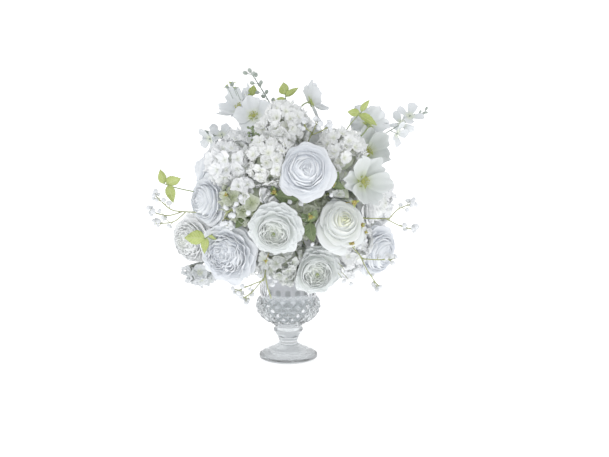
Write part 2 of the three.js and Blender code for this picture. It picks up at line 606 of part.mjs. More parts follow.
const SEGMENTS = 16; // flat sides round the plain parts of the vase, and round the foam's plug
const HOBNAILS = 22; // raised diamonds round each row of the bowl
const HOBNAIL_HEIGHT = 3.2;
const PLUG_BOTTOM = 116; // where the foam's plug ends, inside the neck
const PLUG_RADIUS = 43.8;
// The vase's outside as [radius, height]: its foot and stem, its bowl with the diamonds, its neck.
const FOOT = [
  [50, 3], [50.5, 7], [47, 12], [33, 17], [24, 22], [16.5, 29], [17, 35], [22, 43], [25.5, 50], [23.5, 57],
];
const BOWL = [[29.5, 63], [37, 68.5], [43.5, 74], [48.5, 80.5], [51.6, 87.5], [52.2, 95], [50.6, 102.5]];
const NECK = [[47.5, 109], [48, 122], [50, 140], [53.5, RIM_HEIGHT]];
// The bowl's inside from rim to bottom.
const INSIDE = [
  [50, RIM_HEIGHT], [46, 140], [44.2, 122], [43.8, 110], [46, 98], [43, 84], [32, 71], [17, 62],
];

/** One row of the bowl, with every other point pushed out; the next row's points lie between them. */
const hobnailRing = ([radius, height], row) =>
  plainRing([1, height], HOBNAILS * 2).map((p, i) => {
    const out = radius + ((row + i) % 2 ? HOBNAIL_HEIGHT : 0);
    return new THREE.Vector3(p.x * out, p.y * out, height);
  });

/** The glass: a turned body whose bowl is covered in raised diamonds. */
function vaseSolid() {
  const plain = (side) => side.map((step) => plainRing(step, SEGMENTS));
  const rings = [plainRing([46, 0], SEGMENTS), ...plain(FOOT), ...BOWL.map(hobnailRing), ...plain(NECK)];
  const bottom = INSIDE[INSIDE.length - 1][1] - 1;
  return loft(new THREE.Vector3(), [...rings, ...plain(INSIDE)], new THREE.Vector3(0, 0, bottom));
}

/** The foam: a ball whose lower end is a tapered plug, held in the vase's neck like a cork. */
function foamSolid() {
  const neck = INSIDE.filter(([, up]) => up > PLUG_BOTTOM).reverse();
  const side = [[PLUG_RADIUS, PLUG_BOTTOM], ...neck];
  const plug = side.map(([out, up]) => plainRing([out - GAP, up], SEGMENTS));
  const ball = [[52, 214], [FOAM_RADIUS, HUB.z], [47, HUB.z + 38]].map((step) => plainRing(step, 12));
  const [bottom, top] = [PLUG_BOTTOM, HUB.z + FOAM_RADIUS].map((up) => new THREE.Vector3(0, 0, up));
  return loft(bottom, [...plug, ...ball], top);
}

/** The room that the foam, the vase's neck and a little air round them take up among the blooms. */
function keptFree() {
  const side = [[58, 100], [58, RIM_HEIGHT + 3], [55, 214], [FOAM_RADIUS + 2, HUB.z], [49.5, HUB.z + 39]];
  const rings = side.map((step) => plainRing(step, 12));
  return loft(new THREE.Vector3(0, 0, 100), rings, new THREE.Vector3(0, 0, HUB.z + FOAM_RADIUS + 2));
}

// ---- Assembly -------------------------------------------------------------------------------------------

/** The planes between a bloom and each neighbour it presses on, as outward normals and offsets. */
function wallsOf(bloom, others) {
  const pressing = others.filter((other) => {
    const reach = (bloom.radius + other.radius) * 1.08;
    return other !== bloom && other.at.distanceTo(bloom.at) < reach;
  });
  return pressing.map((other) => {
    const normal = other.at.clone().sub(bloom.at);
    const distance = normal.length();
    const share = (distance ** 2 + bloom.radius ** 2 - other.radius ** 2) / (2 * distance);
    normal.normalize();
    return { normal, offset: normal.dot(bloom.at) + share - GAP / 2 };
  });
}

/** A solid cut back to the inner side of every wall. */
const keptWithin = (solid, walls) =>
  walls.reduce((kept, { normal: { x, y, z }, offset }) => kept.trimByPlane([-x, -y, -z], -offset), solid);

/** A bloom's solid in place and within its walls, without its stem. */
function bloomSolid(bloom, walls) {
  if (bloom.kind.florets) return cluster(bloom, walls);
  const place = placement(bloom.at, bloom.facing, bloom.roll);
  return keptWithin(rosette(bloom.kind, bloom.radius).transform(place.elements), walls);
}

const boxesMeet = (a, b) => [0, 1, 2].every((i) => a.min[i] < b.max[i] && b.min[i] < a.max[i]);

/** What is left of a solid once each cutter that reaches it is taken away. */
function clearOf(solid, cutters) {
  const box = solid.boundingBox();
  const reaching = cutters.filter((cut) => boxesMeet(box, cut.boundingBox()));
  return reaching.reduce((left, cut) => left.subtract(cut), solid);
}

const blooms = [...BLOOMS, ...TALL_BLOSSOMS];
blooms.forEach((bloom, index) => {
  bloom.at = point(bloom.at);
  bloom.roll = index * 1.7;
  bloom.facing = (bloom.face ? point(bloom.face) : bloom.at.clone().sub(BALL)).normalize();
  bloom.path = bloom.stem ? [...bloom.stem.map(point), bloom.at] : [bloom.at];
  bloom.sides = bloom.stem ? 5 : 3;
});

const centrepiece = new THREE.Group();
const add = (name, solid, material, at = new THREE.Vector3()) =>
  centrepiece.add(meshOf(name, solid, material, at));
const addGrown = (name, solid, material, at) =>
  add(name, largestBody(solid.simplify(FACET_TOLERANCE)), material, at);

const stemOf = (bloom, grow) => stemThrough(bloom.path, grow, bloom.sides);
const stemCutters = blooms.map((bloom) => stemOf(bloom, GAP));
const sprayCutters = SPRAYS.map((spray) => spray.make(spray, GAP));
const room = keptFree();

blooms.forEach((bloom, index) => {
  const otherStems = stemCutters.filter((_, i) => i !== index);
  const apart = bloomSolid(bloom, wallsOf(bloom, blooms));
  const head = clearOf(apart, [room, ...otherStems, ...sprayCutters]);
  if (bloom.stem) {
    addGrown(bloom.name, head.subtract(stemCutters[index]), bloom.color, bloom.at);
    addGrown(`${bloom.name}_stem`, stemOf(bloom, 0), STEM_GREEN, bloom.path[0]);
  } else {
    addGrown(bloom.name, head.add(stemOf(bloom, 0)), bloom.color, bloom.at);
  }
});
SPRAYS.forEach((spray) => addGrown(spray.name, spray.make(spray, 0), spray.color, point(spray.stem[0])));

add("foam_ball", clearOf(foamSolid(), [...stemCutters, ...sprayCutters]), FOAM);
add("vase", vaseSolid(), GLASS);

export default centrepiece;
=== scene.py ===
"""A white floral centrepiece in a footed pressed-glass vase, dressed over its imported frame.

Metres, +Z up. The origin is under the middle of the vase's foot, and the front is towards -Y. Places
of blooms and sprays are given in millimetres, as on the frame, and turned into metres as they are read.
"""
import logging
import math
import random
from dataclasses import dataclass, field, replace
from enum import Enum
from typing import Callable, ClassVar, Optional, Sequence, Union

import bmesh
import bpy
from mathutils import Matrix, Quaternion, Vector, noise


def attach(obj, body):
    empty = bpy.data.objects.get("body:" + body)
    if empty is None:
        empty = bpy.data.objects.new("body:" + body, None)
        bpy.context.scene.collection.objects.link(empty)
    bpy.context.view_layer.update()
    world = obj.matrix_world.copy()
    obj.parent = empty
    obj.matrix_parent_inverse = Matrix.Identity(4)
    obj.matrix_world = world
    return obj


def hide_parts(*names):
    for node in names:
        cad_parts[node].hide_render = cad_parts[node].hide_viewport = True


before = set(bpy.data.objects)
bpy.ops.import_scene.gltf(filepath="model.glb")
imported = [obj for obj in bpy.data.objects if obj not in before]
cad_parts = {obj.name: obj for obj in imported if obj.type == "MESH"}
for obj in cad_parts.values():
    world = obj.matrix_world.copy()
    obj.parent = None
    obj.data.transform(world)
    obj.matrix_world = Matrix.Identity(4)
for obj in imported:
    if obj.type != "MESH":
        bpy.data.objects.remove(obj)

LOG = logging.getLogger("centrepiece")
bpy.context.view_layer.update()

MM = 0.001
UP = Vector((0, 0, 1))
BACKWARD = Vector((0, 1, 0))
FULL_TURN = 2 * math.pi
GOLDEN_ANGLE = math.pi * (3 - math.sqrt(5))
HUB = Vector((0, 0, 262)) * MM  # the point inside the foam that every stem aims at
BALL = Vector((0, 0, 289)) * MM  # the middle of the dome of flowers
STEM_START = 36 * MM  # how far from the hub a stem starts, inside the foam
STEM_RADIUS = 1.5 * MM
GAP = 0.35 * MM  # between two blooms that press on each other
RIM_CLEAR = 160 * MM  # the florets over the vase don't hang below this height
NEAR_RIM = 210 * MM  # a head is over the vase where its middle is lower than this
OVER_RIM = 100 * MM  # and nearer to the axis than this
PRESS = 4 * MM  # how softly a petal gives way to its neighbour
PETAL_WALL = 0.5 * MM  # the cloth of full petals, sepals and leaves
SHEER_WALL = 0.45 * MM  # the thinner cloth of florets and open blossoms
BRACT_WALL = 0.4 * MM  # the narrow bracts under a seed head
BEAD_TINT = (0.8, 0.5, 0.5, 1)  # near the lip's colour, in the middle of its range

Range = tuple[float, float]
Triple = tuple[float, float, float]
Colour = tuple[float, float, float]
Socket = bpy.types.NodeSocket
Value = Union[Socket, float, Sequence[float]]
Surface = Callable[[float, float], Vector]


# Finishes

class Nodes:
    """The node tree of one material, with short calls to add and join its nodes."""

    def __init__(self, name: str) -> None:
        """Starts a material with only its output and its principled shader.

        Args:
            name: The material's name.
        """
        self.material = bpy.data.materials.new(name)
        self.material.use_nodes = True
        self.tree = self.material.node_tree
        self.shader = self.tree.nodes["Principled BSDF"]

    def fill(self, node: bpy.types.Node, inputs: dict[Union[str, int], Value]) -> None:
        """Fills a node's inputs.

        Args:
            node: The node.
            inputs: What each input gets: a socket that is joined to it, or a constant.
        """
        for key, value in inputs.items():
            if isinstance(value, Socket):
                self.tree.links.new(value, node.inputs[key])
            else:
                node.inputs[key].default_value = value

    def dressed(self, inputs: dict[str, Value]) -> bpy.types.Material:
        """Fills the shader's inputs and returns the finished material."""
        self.fill(self.shader, inputs)
        return self.material

    def add(self, kind: str, inputs: dict[Union[str, int], Value], **settings: str) -> bpy.types.Node:
        """Adds a node.

        Args:
            kind: The node's type without its ShaderNode prefix.
            inputs: What its inputs get.
            settings: Properties of the node.

        Returns:
            The new node.
        """
        node = self.tree.nodes.new("ShaderNode" + kind)
        for key, value in settings.items():
            setattr(node, key, value)
        self.fill(node, inputs)
        return node

    def noise(self, place: Socket, scale: float, detail: float = 3) -> Socket:
        """A noise's factor over a place."""
        return self.add("TexNoise", {"Vector": place, "Scale": scale, "Detail": detail}).outputs["Fac"]

    def scaled(self, value: Socket, low: float, high: float) -> Socket:
        """A value's 0 to 1 mapped onto low to high."""
        return self.add("MapRange", {"Value": value, "To Min": low, "To Max": high}).outputs["Result"]

    def multiplied(self, colour: Socket, value: Socket) -> Socket:
        """A colour times a value."""
        return self.add("VectorMath", {0: colour, "Scale": value}, operation="SCALE").outputs["Vector"]

    def worked_out(self, operation: str, *values: Value) -> Socket:
        """What an operation of the maths node makes of one to three values."""
        return self.add("Math", dict(enumerate(values)), operation=operation).outputs[0]

    def place(self) -> Socket:
        """The object coordinates."""
        return self.add("TexCoord", {}).outputs["Object"]

    def bump(self, height: Socket, strength: float, distance: float,
             below: Optional[Socket] = None) -> Socket:
        """Adds a bump.

        Args:
            height: The relief.
            strength: From 0 to 1.
            distance: The relief's full height in metres.
            below: The normal of a bump that this one lies on.

        Returns:
            The bump's normal.
        """
        under = {} if below is None else {"Normal": below}
        inputs = {"Height": height, "Strength": strength, "Distance": distance, **under}
        return self.add("Bump", inputs).outputs["Normal"]

    def ramp(self, factor: Socket, *stops: tuple[float, Colour]) -> Socket:
        """Adds a colour ramp.

        Args:
            factor: What the ramp reads.
            stops: Positions from 0 to 1 with their colours.

        Returns:
            The ramp's colour.
        """
        node = self.add("ValToRGB", {"Fac": factor})
        elements = node.color_ramp.elements
        while len(elements) < len(stops):
            elements.new(0.5)
        for element, (position, colour) in zip(elements, stops):
            element.position = position
            element.color = (*colour, 1)
        return node.outputs["Color"]

    def grown(self) -> list[Socket]:
        """How far along its blade a point is, a number drawn for each blade, and how far across it is."""
        tint = self.add("Attribute", {}, attribute_name="tint").outputs["Color"]
        return list(self.add("SeparateColor", {"Color": tint}).outputs)

    def streaks(self, across: float, along: float) -> Socket:
        """Adds streaks that run along a petal and differ from blade to blade.

        Args:
            across: How many streaks lie across it.
            along: How often they change along it.

        Returns:
            The streaks' factor.
        """
        length, draw, side = self.grown()
        place = self.add("CombineXYZ", {"X": self.scaled(side, 0, across), "Y": self.scaled(length, 0, along),
                                        "Z": self.scaled(draw, 0, 40)}).outputs["Vector"]
        return self.noise(place, 1.0, 4)


@dataclass(frozen=True)
class Finish:
    """A material of the object, and the name of a record slot kept with it."""

    name: str
    slot: str

    def material(self) -> bpy.types.Material:
        """The finish's material, made when it is first asked for."""
        return bpy.data.materials.get(self.name) or self.painted(Nodes(self.name))

    def painted(self, nodes: Nodes) -> bpy.types.Material:
        """Fills a new material's nodes; each kind of finish has its own way."""
        raise NotImplementedError


@dataclass(frozen=True)
class PetalFinish(Finish):
    """Matt white cloth petals with fine streaks, a tinted root and a fine weave."""

    root: Colour
    body: Colour
    # Where the lip is lighter than the body, that is painted light shining through the thin edges.
    lip: Colour
    roughness: float = 0.72
    uneven: float = 0.1  # how much the roughness differs either way
    sheen: float = 0.25
    glow: float = 0.3  # how much of the light goes through the cloth
    streaks: Range = (26, 2.2)  # how many lie across a petal, and how often they change along it
    streak_shade: Range = (0.95, 1.02)
    streak_height: float = 0.4 * MM
    petal_shade: Range = (0.955, 1.0)  # from one petal to another
    weave: float = 2600
    weave_height: float = 0.1 * MM

    def painted(self, nodes: Nodes) -> bpy.types.Material:
        """Streaks the petals along their length, from root to lip.

        Args:
            nodes: The new material's nodes.

        Returns:
            The material.
        """
        length, draw, _ = nodes.grown()
        place, streaks = nodes.place(), nodes.streaks(*self.streaks)
        smears, weave = nodes.noise(place, 160), nodes.noise(place, self.weave, detail=1)
        colour = nodes.ramp(length, (0.0, self.root), (0.42, self.body), (0.9, self.lip))
        colour = nodes.multiplied(colour, nodes.scaled(draw, *self.petal_shade))
        creases = nodes.bump(streaks, 0.35, self.streak_height)
        return nodes.dressed({
            "Base Color": nodes.multiplied(colour, nodes.scaled(streaks, *self.streak_shade)),
            "Roughness": nodes.scaled(smears, self.roughness - self.uneven, self.roughness + self.uneven),
            "Normal": nodes.bump(weave, 0.25, self.weave_height, creases),
            "Sheen Weight": self.sheen, "Sheen Roughness": 0.5, "Specular IOR Level": 0.25,
            "Subsurface Weight": self.glow, "Subsurface Scale": 1 * MM, "Subsurface Radius": (1.0, 1.0, 1.0)})


@dataclass(frozen=True)
class LeafFinish(Finish):
    """Satin cloth leaves with a pale rib, side veins and darker patches."""

    dark: Colour
    light: Colour
    rib: Colour
    rib_width: float = 0.045
    veins: float = 44.0
    slant: float = -0.55
    vein_shade: Range = (0.96, 1.04)
    vein_height: float = 0.4 * MM
    patches: float = 90
    weave: float = 1500
    weave_height: float = 0.1 * MM
    roughness: Range = (0.45, 0.65)

    def painted(self, nodes: Nodes) -> bpy.types.Material:
        """Draws the rib, and the veins that slant away from it.

        Args:
            nodes: The new material's nodes.

        Returns:
            The material.
        """
        length, _, side = nodes.grown()
        place = nodes.place()
        patches = nodes.ramp(nodes.noise(place, self.patches), (0.3, self.dark), (0.7, self.light))
        away = nodes.worked_out("ABSOLUTE", nodes.worked_out("SUBTRACT", side, 0.5))
        slanted = nodes.worked_out("MULTIPLY_ADD", away, self.slant, length)
        wave = nodes.worked_out("SINE", nodes.worked_out("MULTIPLY", slanted, self.veins))
        rib = nodes.ramp(away, (0.0, (1, 1, 1)), (self.rib_width, (0, 0, 0)))
        mixed = nodes.add("Mix", {"Factor": rib, "A": patches, "B": (*self.rib, 1)}, data_type="RGBA")
        weave = nodes.noise(place, self.weave, detail=2)
        raised = nodes.bump(wave, 0.5, self.vein_height)
        return nodes.dressed({
            "Base Color": nodes.multiplied(mixed.outputs["Result"], nodes.scaled(wave, *self.vein_shade)),
            "Roughness": nodes.scaled(nodes.noise(place, 200), *self.roughness),
            "Normal": nodes.bump(weave, 0.2, self.weave_height, raised), "Specular IOR Level": 0.35})


@dataclass(frozen=True)
class PlasticFinish(Finish):
    """Matt moulded plastic over wire, as on stems and buds, mottled between two colours."""

    dark: Colour
    light: Colour
    scale: float = 140
    roughness: float = 0.6
    uneven: float = 0.12
    grain: float = 9  # how much finer the grain is than the mottle
    grain_height: float = 0.15 * MM

    def painted(self, nodes: Nodes) -> bpy.types.Material:
        """Mottles the plastic and gives it a grain.

        Args:
            nodes: The new material's nodes.

        Returns:
            The material.
        """
        place = nodes.place()
        mottle, grain = nodes.noise(place, self.scale), nodes.noise(place, self.scale * self.grain, detail=2)
        return nodes.dressed({
            "Base Color": nodes.ramp(mottle, (0.35, self.dark), (0.68, self.light)),
            "Roughness": nodes.scaled(mottle, self.roughness + self.uneven, self.roughness - self.uneven),
            "Normal": nodes.bump(grain, 0.35, self.grain_height), "Specular IOR Level": 0.3})


@dataclass(frozen=True)
class FoamFinish(Finish):
    """White rigid foam with small open cells."""

    # The pit colour is painted shade, darker where the cells sink in.
    pit: Colour = (0.88, 0.89, 0.9)
    skin: Colour = (0.95, 0.955, 0.965)
    cells: float = 700
    cell_depth: float = 0.4 * MM

    def painted(self, nodes: Nodes) -> bpy.types.Material:
        """Pits the foam, and paints shade in the pits.

        Args:
            nodes: The new material's nodes.

        Returns:
            The material.
        """
        place = nodes.place()
        pits = nodes.add("TexVoronoi", {"Vector": place, "Scale": self.cells}).outputs["Distance"]
        return nodes.dressed({
            "Base Color": nodes.ramp(pits, (0.1, self.pit), (0.6, self.skin)),
            "Roughness": nodes.scaled(nodes.noise(place, 60), 0.8, 0.95),
            "Normal": nodes.bump(pits, 0.5, self.cell_depth)})


@dataclass(frozen=True)
class GlassFinish(Finish):
    """Clear pressed glass with the faint ripple of the mould, painted darker in the hollows of its relief as
    painted shade and lighter on its ridges as painted highlight.
    """

    # Painted shade in the hollows of the relief, the plain glass, and painted highlight on the ridges.
    painted_hollow_shade: Colour = (0.34, 0.37, 0.37)
    plain: Colour = (0.6, 0.625, 0.645)
    ridge: Colour = (0.88, 0.89, 0.92)
    ripple: float = 90
    ripple_height: float = 0.8 * MM
    ripple_shade: Range = (0.9, 1.05)
    roughness: Range = (0.0, 0.06)
    index: float = 1.5

    def painted(self, nodes: Nodes) -> bpy.types.Material:
        """Ripples the glass, and paints its shade and highlights by the greyness that the vase notes.

        Args:
            nodes: The new material's nodes.

        Returns:
            The material.
        """
        place = nodes.place()
        ripple = nodes.noise(place, self.ripple)
        grey = nodes.ramp(nodes.grown()[0], (0.0, self.painted_hollow_shade), (0.5, self.plain), (1.0, self.ridge))
        return nodes.dressed({
            "Base Color": nodes.multiplied(grey, nodes.scaled(ripple, *self.ripple_shade)),
            "Roughness": nodes.scaled(nodes.noise(place, 130), *self.roughness),
            "Normal": nodes.bump(ripple, 0.5, self.ripple_height), "Transmission Weight": 1.0,
            "IOR": self.index})


BLUE_WHITE = PetalFinish("petals_cool_white", "petals_blue_white",
                         (0.8, 0.83, 0.87), (0.84, 0.87, 0.915), (0.85, 0.88, 0.93))
CREAM_WHITE = PetalFinish("petals_warm_cream", "petals_cream_white",
                          (0.79, 0.83, 0.69), (0.81, 0.845, 0.81), (0.8, 0.835, 0.84))
YELLOW_HEART = PetalFinish("petals_yellow_heart", "petals_cream_white",
                           (0.8, 0.83, 0.34), (0.81, 0.835, 0.78), (0.81, 0.84, 0.845))
# The sheer finishes are greyer copies of the white and cream petals: partly their thinner cloth, partly
# painted shade on the open blossoms.
SHADED_SHEER_WHITE = PetalFinish("petals_sheer_white_shaded", "petals_white",
                          (0.62, 0.67, 0.48), (0.68, 0.71, 0.725), (0.75, 0.775, 0.8))
SHADED_SHEER_CREAM = PetalFinish("petals_sheer_cream_shaded", "petals_cream_white",
                          (0.53, 0.59, 0.34), (0.63, 0.67, 0.64), (0.71, 0.74, 0.74))
WHITE = PetalFinish("petals_pure_white", "petals_white",
                    (0.84, 0.87, 0.76), (0.92, 0.94, 0.94), (0.95, 0.96, 0.975))
FLORET_WHITE = PetalFinish("florets_white", "petals_white",
                           (0.86, 0.895, 0.78), (0.94, 0.96, 0.975), (0.955, 0.97, 0.99))
FLORET_CREAM = PetalFinish("florets_cream", "petals_cream_white",
                           (0.83, 0.87, 0.68), (0.93, 0.945, 0.92), (0.945, 0.96, 0.96))
FLORET_GREEN = PetalFinish("florets_pale_green", "petals_cream_white",
                           (0.3, 0.36, 0.18), (0.41, 0.455, 0.3), (0.52, 0.56, 0.44))
FLORET_SHADE = PetalFinish("florets_in_shade", "petals_cream_white",
                           (0.47, 0.52, 0.39), (0.61, 0.64, 0.6), (0.68, 0.705, 0.695))
TINY_WHITE = PetalFinish("tiny_flowers_white", "baby_breath",
                         (0.46, 0.5, 0.42), (0.66, 0.68, 0.69), (0.78, 0.8, 0.83))
LIME_LEAF = LeafFinish("leaf_lime", "leaves_lime", (0.36, 0.44, 0.1), (0.47, 0.56, 0.17), (0.56, 0.63, 0.27))
DARK_LEAF = LeafFinish("leaf_dark", "leaves_dark", (0.1, 0.15, 0.06), (0.17, 0.23, 0.1), (0.25, 0.31, 0.15))
STALK_PALE = PlasticFinish("stalk_pale_green", "stems", (0.5, 0.56, 0.4), (0.68, 0.73, 0.58), 120, 0.75)
STEM_GREEN = PlasticFinish("stem_green", "stems", (0.2, 0.26, 0.1), (0.32, 0.38, 0.17))
TWIG_GREEN = PlasticFinish("twig_yellow_green", "stems", (0.28, 0.31, 0.12), (0.36, 0.39, 0.16))
BUD_GREY = PlasticFinish("bud_grey_green", "buds_grey_green", (0.27, 0.32, 0.28), (0.43, 0.48, 0.44))
BUD_DARK = PlasticFinish("bud_dark_green", "buds_grey_green", (0.11, 0.15, 0.07), (0.22, 0.28, 0.15))
BUD_GOLD = PlasticFinish("bud_golden", "buds_grey_green", (0.2, 0.13, 0.03), (0.5, 0.42, 0.1), 300)
STAMEN_LIME = PlasticFinish("stamen_lime", "leaves_lime", (0.34, 0.36, 0.06), (0.52, 0.52, 0.16), 600)


# Meshes

def placement(at: Vector, facing: Vector, roll: float = 0) -> Matrix:
    """Puts a local frame at a point, with its +Z along a direction.

    Args:
        at: The point.
        facing: The direction.
        roll: A turn about it, in radians.

    Returns:
        The matrix.
    """
    turn = UP.rotation_difference(facing.normalized()) @ Quaternion(UP, roll)
    return Matrix.LocRotScale(at, turn, None)


def round_place(radius: float, angle: float, up: float) -> Vector:
    """The point at a radius, an angle and a height."""
    return Vector((radius * math.cos(angle), radius * math.sin(angle), up))


def scatter(draw: random.Random, most: float) -> Vector:
    """A small vector drawn within a cube."""
    return Vector([draw.uniform(-most, most) for _ in "xyz"])


def smooth(low: float, high: float, value: float) -> float:
    """Rises smoothly from 0 at low to 1 at high."""
    t = min(max((value - low) / (high - low), 0), 1)
    return t * t * (3 - 2 * t)


def bezier(a: float, b: float, c: float, d: float, t: float) -> float:
    """A cubic curve's value at t."""
    s = 1 - t
    return s * s * s * a + 3 * s * s * t * b + 3 * s * t * t * c + t * t * t * d


def rounded(points: Sequence[Vector], steps: int) -> list[Vector]:
    """A smooth line through points.

    Args:
        points: The points, in order.
        steps: How many steps lie between two of them.

    Returns:
        The line's points.
    """
    line = []
    for i in range(len(points) - 1):
        before, a, b, after = (points[max(min(k, len(points) - 1), 0)] for k in (i - 1, i, i + 1, i + 2))
        into, out = (b - before) * 0.5, (after - a) * 0.5
        for step in range(steps):
            t = step / steps
            line.append(a * (2 * t**3 - 3 * t**2 + 1) + into * (t**3 - 2 * t**2 + t)
                        + b * (3 * t**2 - 2 * t**3) + out * (t**3 - t**2))
    return [*line, points[-1].copy()]


def outline(profile: Sequence[Range], steps: int) -> list[Vector]:
    """A smooth outline in the XZ plane through a profile of radii and heights in millimetres."""
    return rounded([Vector((out, 0, up)) * MM for out, up in profile], steps)


class Maker:
    """A mesh under construction, whose points carry how far along and across their blade they are."""

    def __init__(self) -> None:
        """Starts an empty mesh."""
        self.mesh = bmesh.new()
        self.tint = self.mesh.verts.layers.float_color.new("tint")

    def blade(self, surface: Surface, place: Matrix, columns: int, rows: int, draw: float,
              reach: float = 1.0) -> None:
        """Adds a petal or leaf from a grid that is bent into shape.

        Args:
            surface: Gives a point for u from -1 to 1 across and v from 0 to 1 along.
            place: Where the blade goes.
            columns: Cells across.
            rows: Cells along.
            draw: A number from 0 to 1 that the finish varies the blade by.
            reach: How much of the finish's range from root to lip it has.
        """
        made = bmesh.ops.create_grid(self.mesh, x_segments=columns, y_segments=rows, size=1)
        for vertex in made["verts"]:
            u, v = vertex.co.x, (vertex.co.y + 1) / 2
            vertex.co = place @ surface(u, v)
            vertex[self.tint] = (v * reach, draw, (u + 1) / 2, 1)

    def tube(self, line: Sequence[Vector], start: float, end: float, sides: int = 6) -> None:
        """Adds a round stem along a line.

        Args:
            line: Its points.
            start: Its radius at the first point.
            end: Its radius at the last point.
            sides: How many sides it has.
        """
        last_step = len(line) - 1
        ways = [(line[min(i + 1, last_step)] - line[max(i - 1, 0)]).normalized() for i in range(len(line))]
        turn = UP.rotation_difference(ways[0])
        ring = bmesh.ops.create_circle(self.mesh, cap_ends=True, segments=sides, radius=1)["verts"]
        last = Matrix.LocRotScale(line[0], turn, Vector((start,) * 3))
        bmesh.ops.transform(self.mesh, matrix=last, verts=ring)
        face = next(iter(ring[0].link_faces))
        faces = {face}
        for i in range(1, len(line)):
            turn = ways[i - 1].rotation_difference(ways[i]) @ turn
            size = start + (end - start) * i / last_step
            there = Matrix.LocRotScale(line[i], turn, Vector((size,) * 3))
            made = bmesh.ops.extrude_face_region(self.mesh, geom=[face])
            ring = [item for item in made["geom"] if isinstance(item, bmesh.types.BMVert)]
            face = next(item for item in made["geom"] if isinstance(item, bmesh.types.BMFace))
            bmesh.ops.transform(self.mesh, matrix=there @ last.inverted(), verts=ring)
            last = there
            for vertex in ring:
                faces.update(vertex.link_faces)
        bmesh.ops.recalc_face_normals(self.mesh, faces=[item for item in faces if item.is_valid])

    def bead(self, at: Vector, facing: Vector, radius: float, length: float, around: int = 8,
             rings: int = 6) -> None:
        """Adds an egg-shaped bead, such as a bud.

        Args:
            at: Its middle.
            facing: The way its longer side points.
            radius: Half its width.
            length: Half its length.
            around: How many sides it has.
            rings: How many steps it has from end to end.
        """
        shape = placement(at, facing) @ Matrix.Diagonal((radius, radius, length, 1))
        made = bmesh.ops.create_uvsphere(self.mesh, u_segments=around, v_segments=rings, radius=1,
                                         matrix=shape)
        for vertex in made["verts"]:
            vertex[self.tint] = BEAD_TINT

    def cone(self, at: Vector, facing: Vector, bottom: float, top: float, height: float, sides: int) -> None:
        """Adds a closed cone that stands on a point.

        Args:
            at: The middle of its bottom.
            facing: The way it widens.
            bottom: Its radius there.
            top: Its radius at the other end.
            height: Its height.
            sides: How many sides it has.
        """
        place = placement(at + facing.normalized() * height / 2, facing)
        bmesh.ops.create_cone(self.mesh, cap_ends=True, segments=sides, radius1=bottom, radius2=top,
                              depth=height, matrix=place)

    def turned(self, line: Sequence[Vector], steps: int) -> None:
        """Adds a round body by turning an outline about the object's axis.

        Args:
            line: The outline in the XZ plane, both ends on the axis.
            steps: How many steps a full turn has.
        """
        verts = [bmesh.ops.create_vert(self.mesh, co=point)["vert"][0] for point in line]
        edges = [self.mesh.edges.new(pair) for pair in zip(verts, verts[1:])]
        bmesh.ops.spin(self.mesh, geom=[*verts, *edges], cent=(0, 0, 0), axis=UP, angle=FULL_TURN,
                       steps=steps, use_merge=True)
        bmesh.ops.remove_doubles(self.mesh, verts=self.mesh.verts, dist=0.01 * MM)
        bmesh.ops.recalc_face_normals(self.mesh, faces=self.mesh.faces)

    def press(self, walls: Sequence[tuple[Vector, float]]) -> None:
        """Bends what lies beyond a wall back to its near side, softly.

        Args:
            walls: Each wall's normal, pointing out, and its distance from the origin along it.
        """
        for normal, offset in walls:
            for vertex in self.mesh.verts:
                beyond = normal.dot(vertex.co) - offset + PRESS
                if beyond > 0:
                    vertex.co += normal * (PRESS * (1 - math.exp(-beyond / PRESS)) - beyond)

    def piece(self, name: str, finish: Finish, nodes: Sequence[str], thickness: float = 0,
              rounds: int = 0) -> None:
        """Turns the mesh into a piece of the object.

        Args:
            name: The piece's name.
            finish: Its finish.
            nodes: The nodes of the frame that it stands for.
            thickness: The thickness that its blades get, or 0 where it is closed already.
            rounds: How often its faces are divided to round them.
        """
        data = bpy.data.meshes.new(name)
        self.mesh.to_mesh(data)
        self.mesh.free()
        data.polygons.foreach_set("use_smooth", [True] * len(data.polygons))
        data.materials.append(finish.material())
        made = bpy.data.objects.new(name, data)
        bpy.context.scene.collection.objects.link(made)
        if rounds:
            division = made.modifiers.new("rounds", "SUBSURF")
            division.levels = division.render_levels = rounds
        if thickness:
            wall = made.modifiers.new("thickness", "SOLIDIFY")
            wall.thickness = thickness
            wall.offset = 0
        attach(made, "root")
        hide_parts(*nodes)
        LOG.info("%s: %d faces", name, len(data.polygons))


# Petals

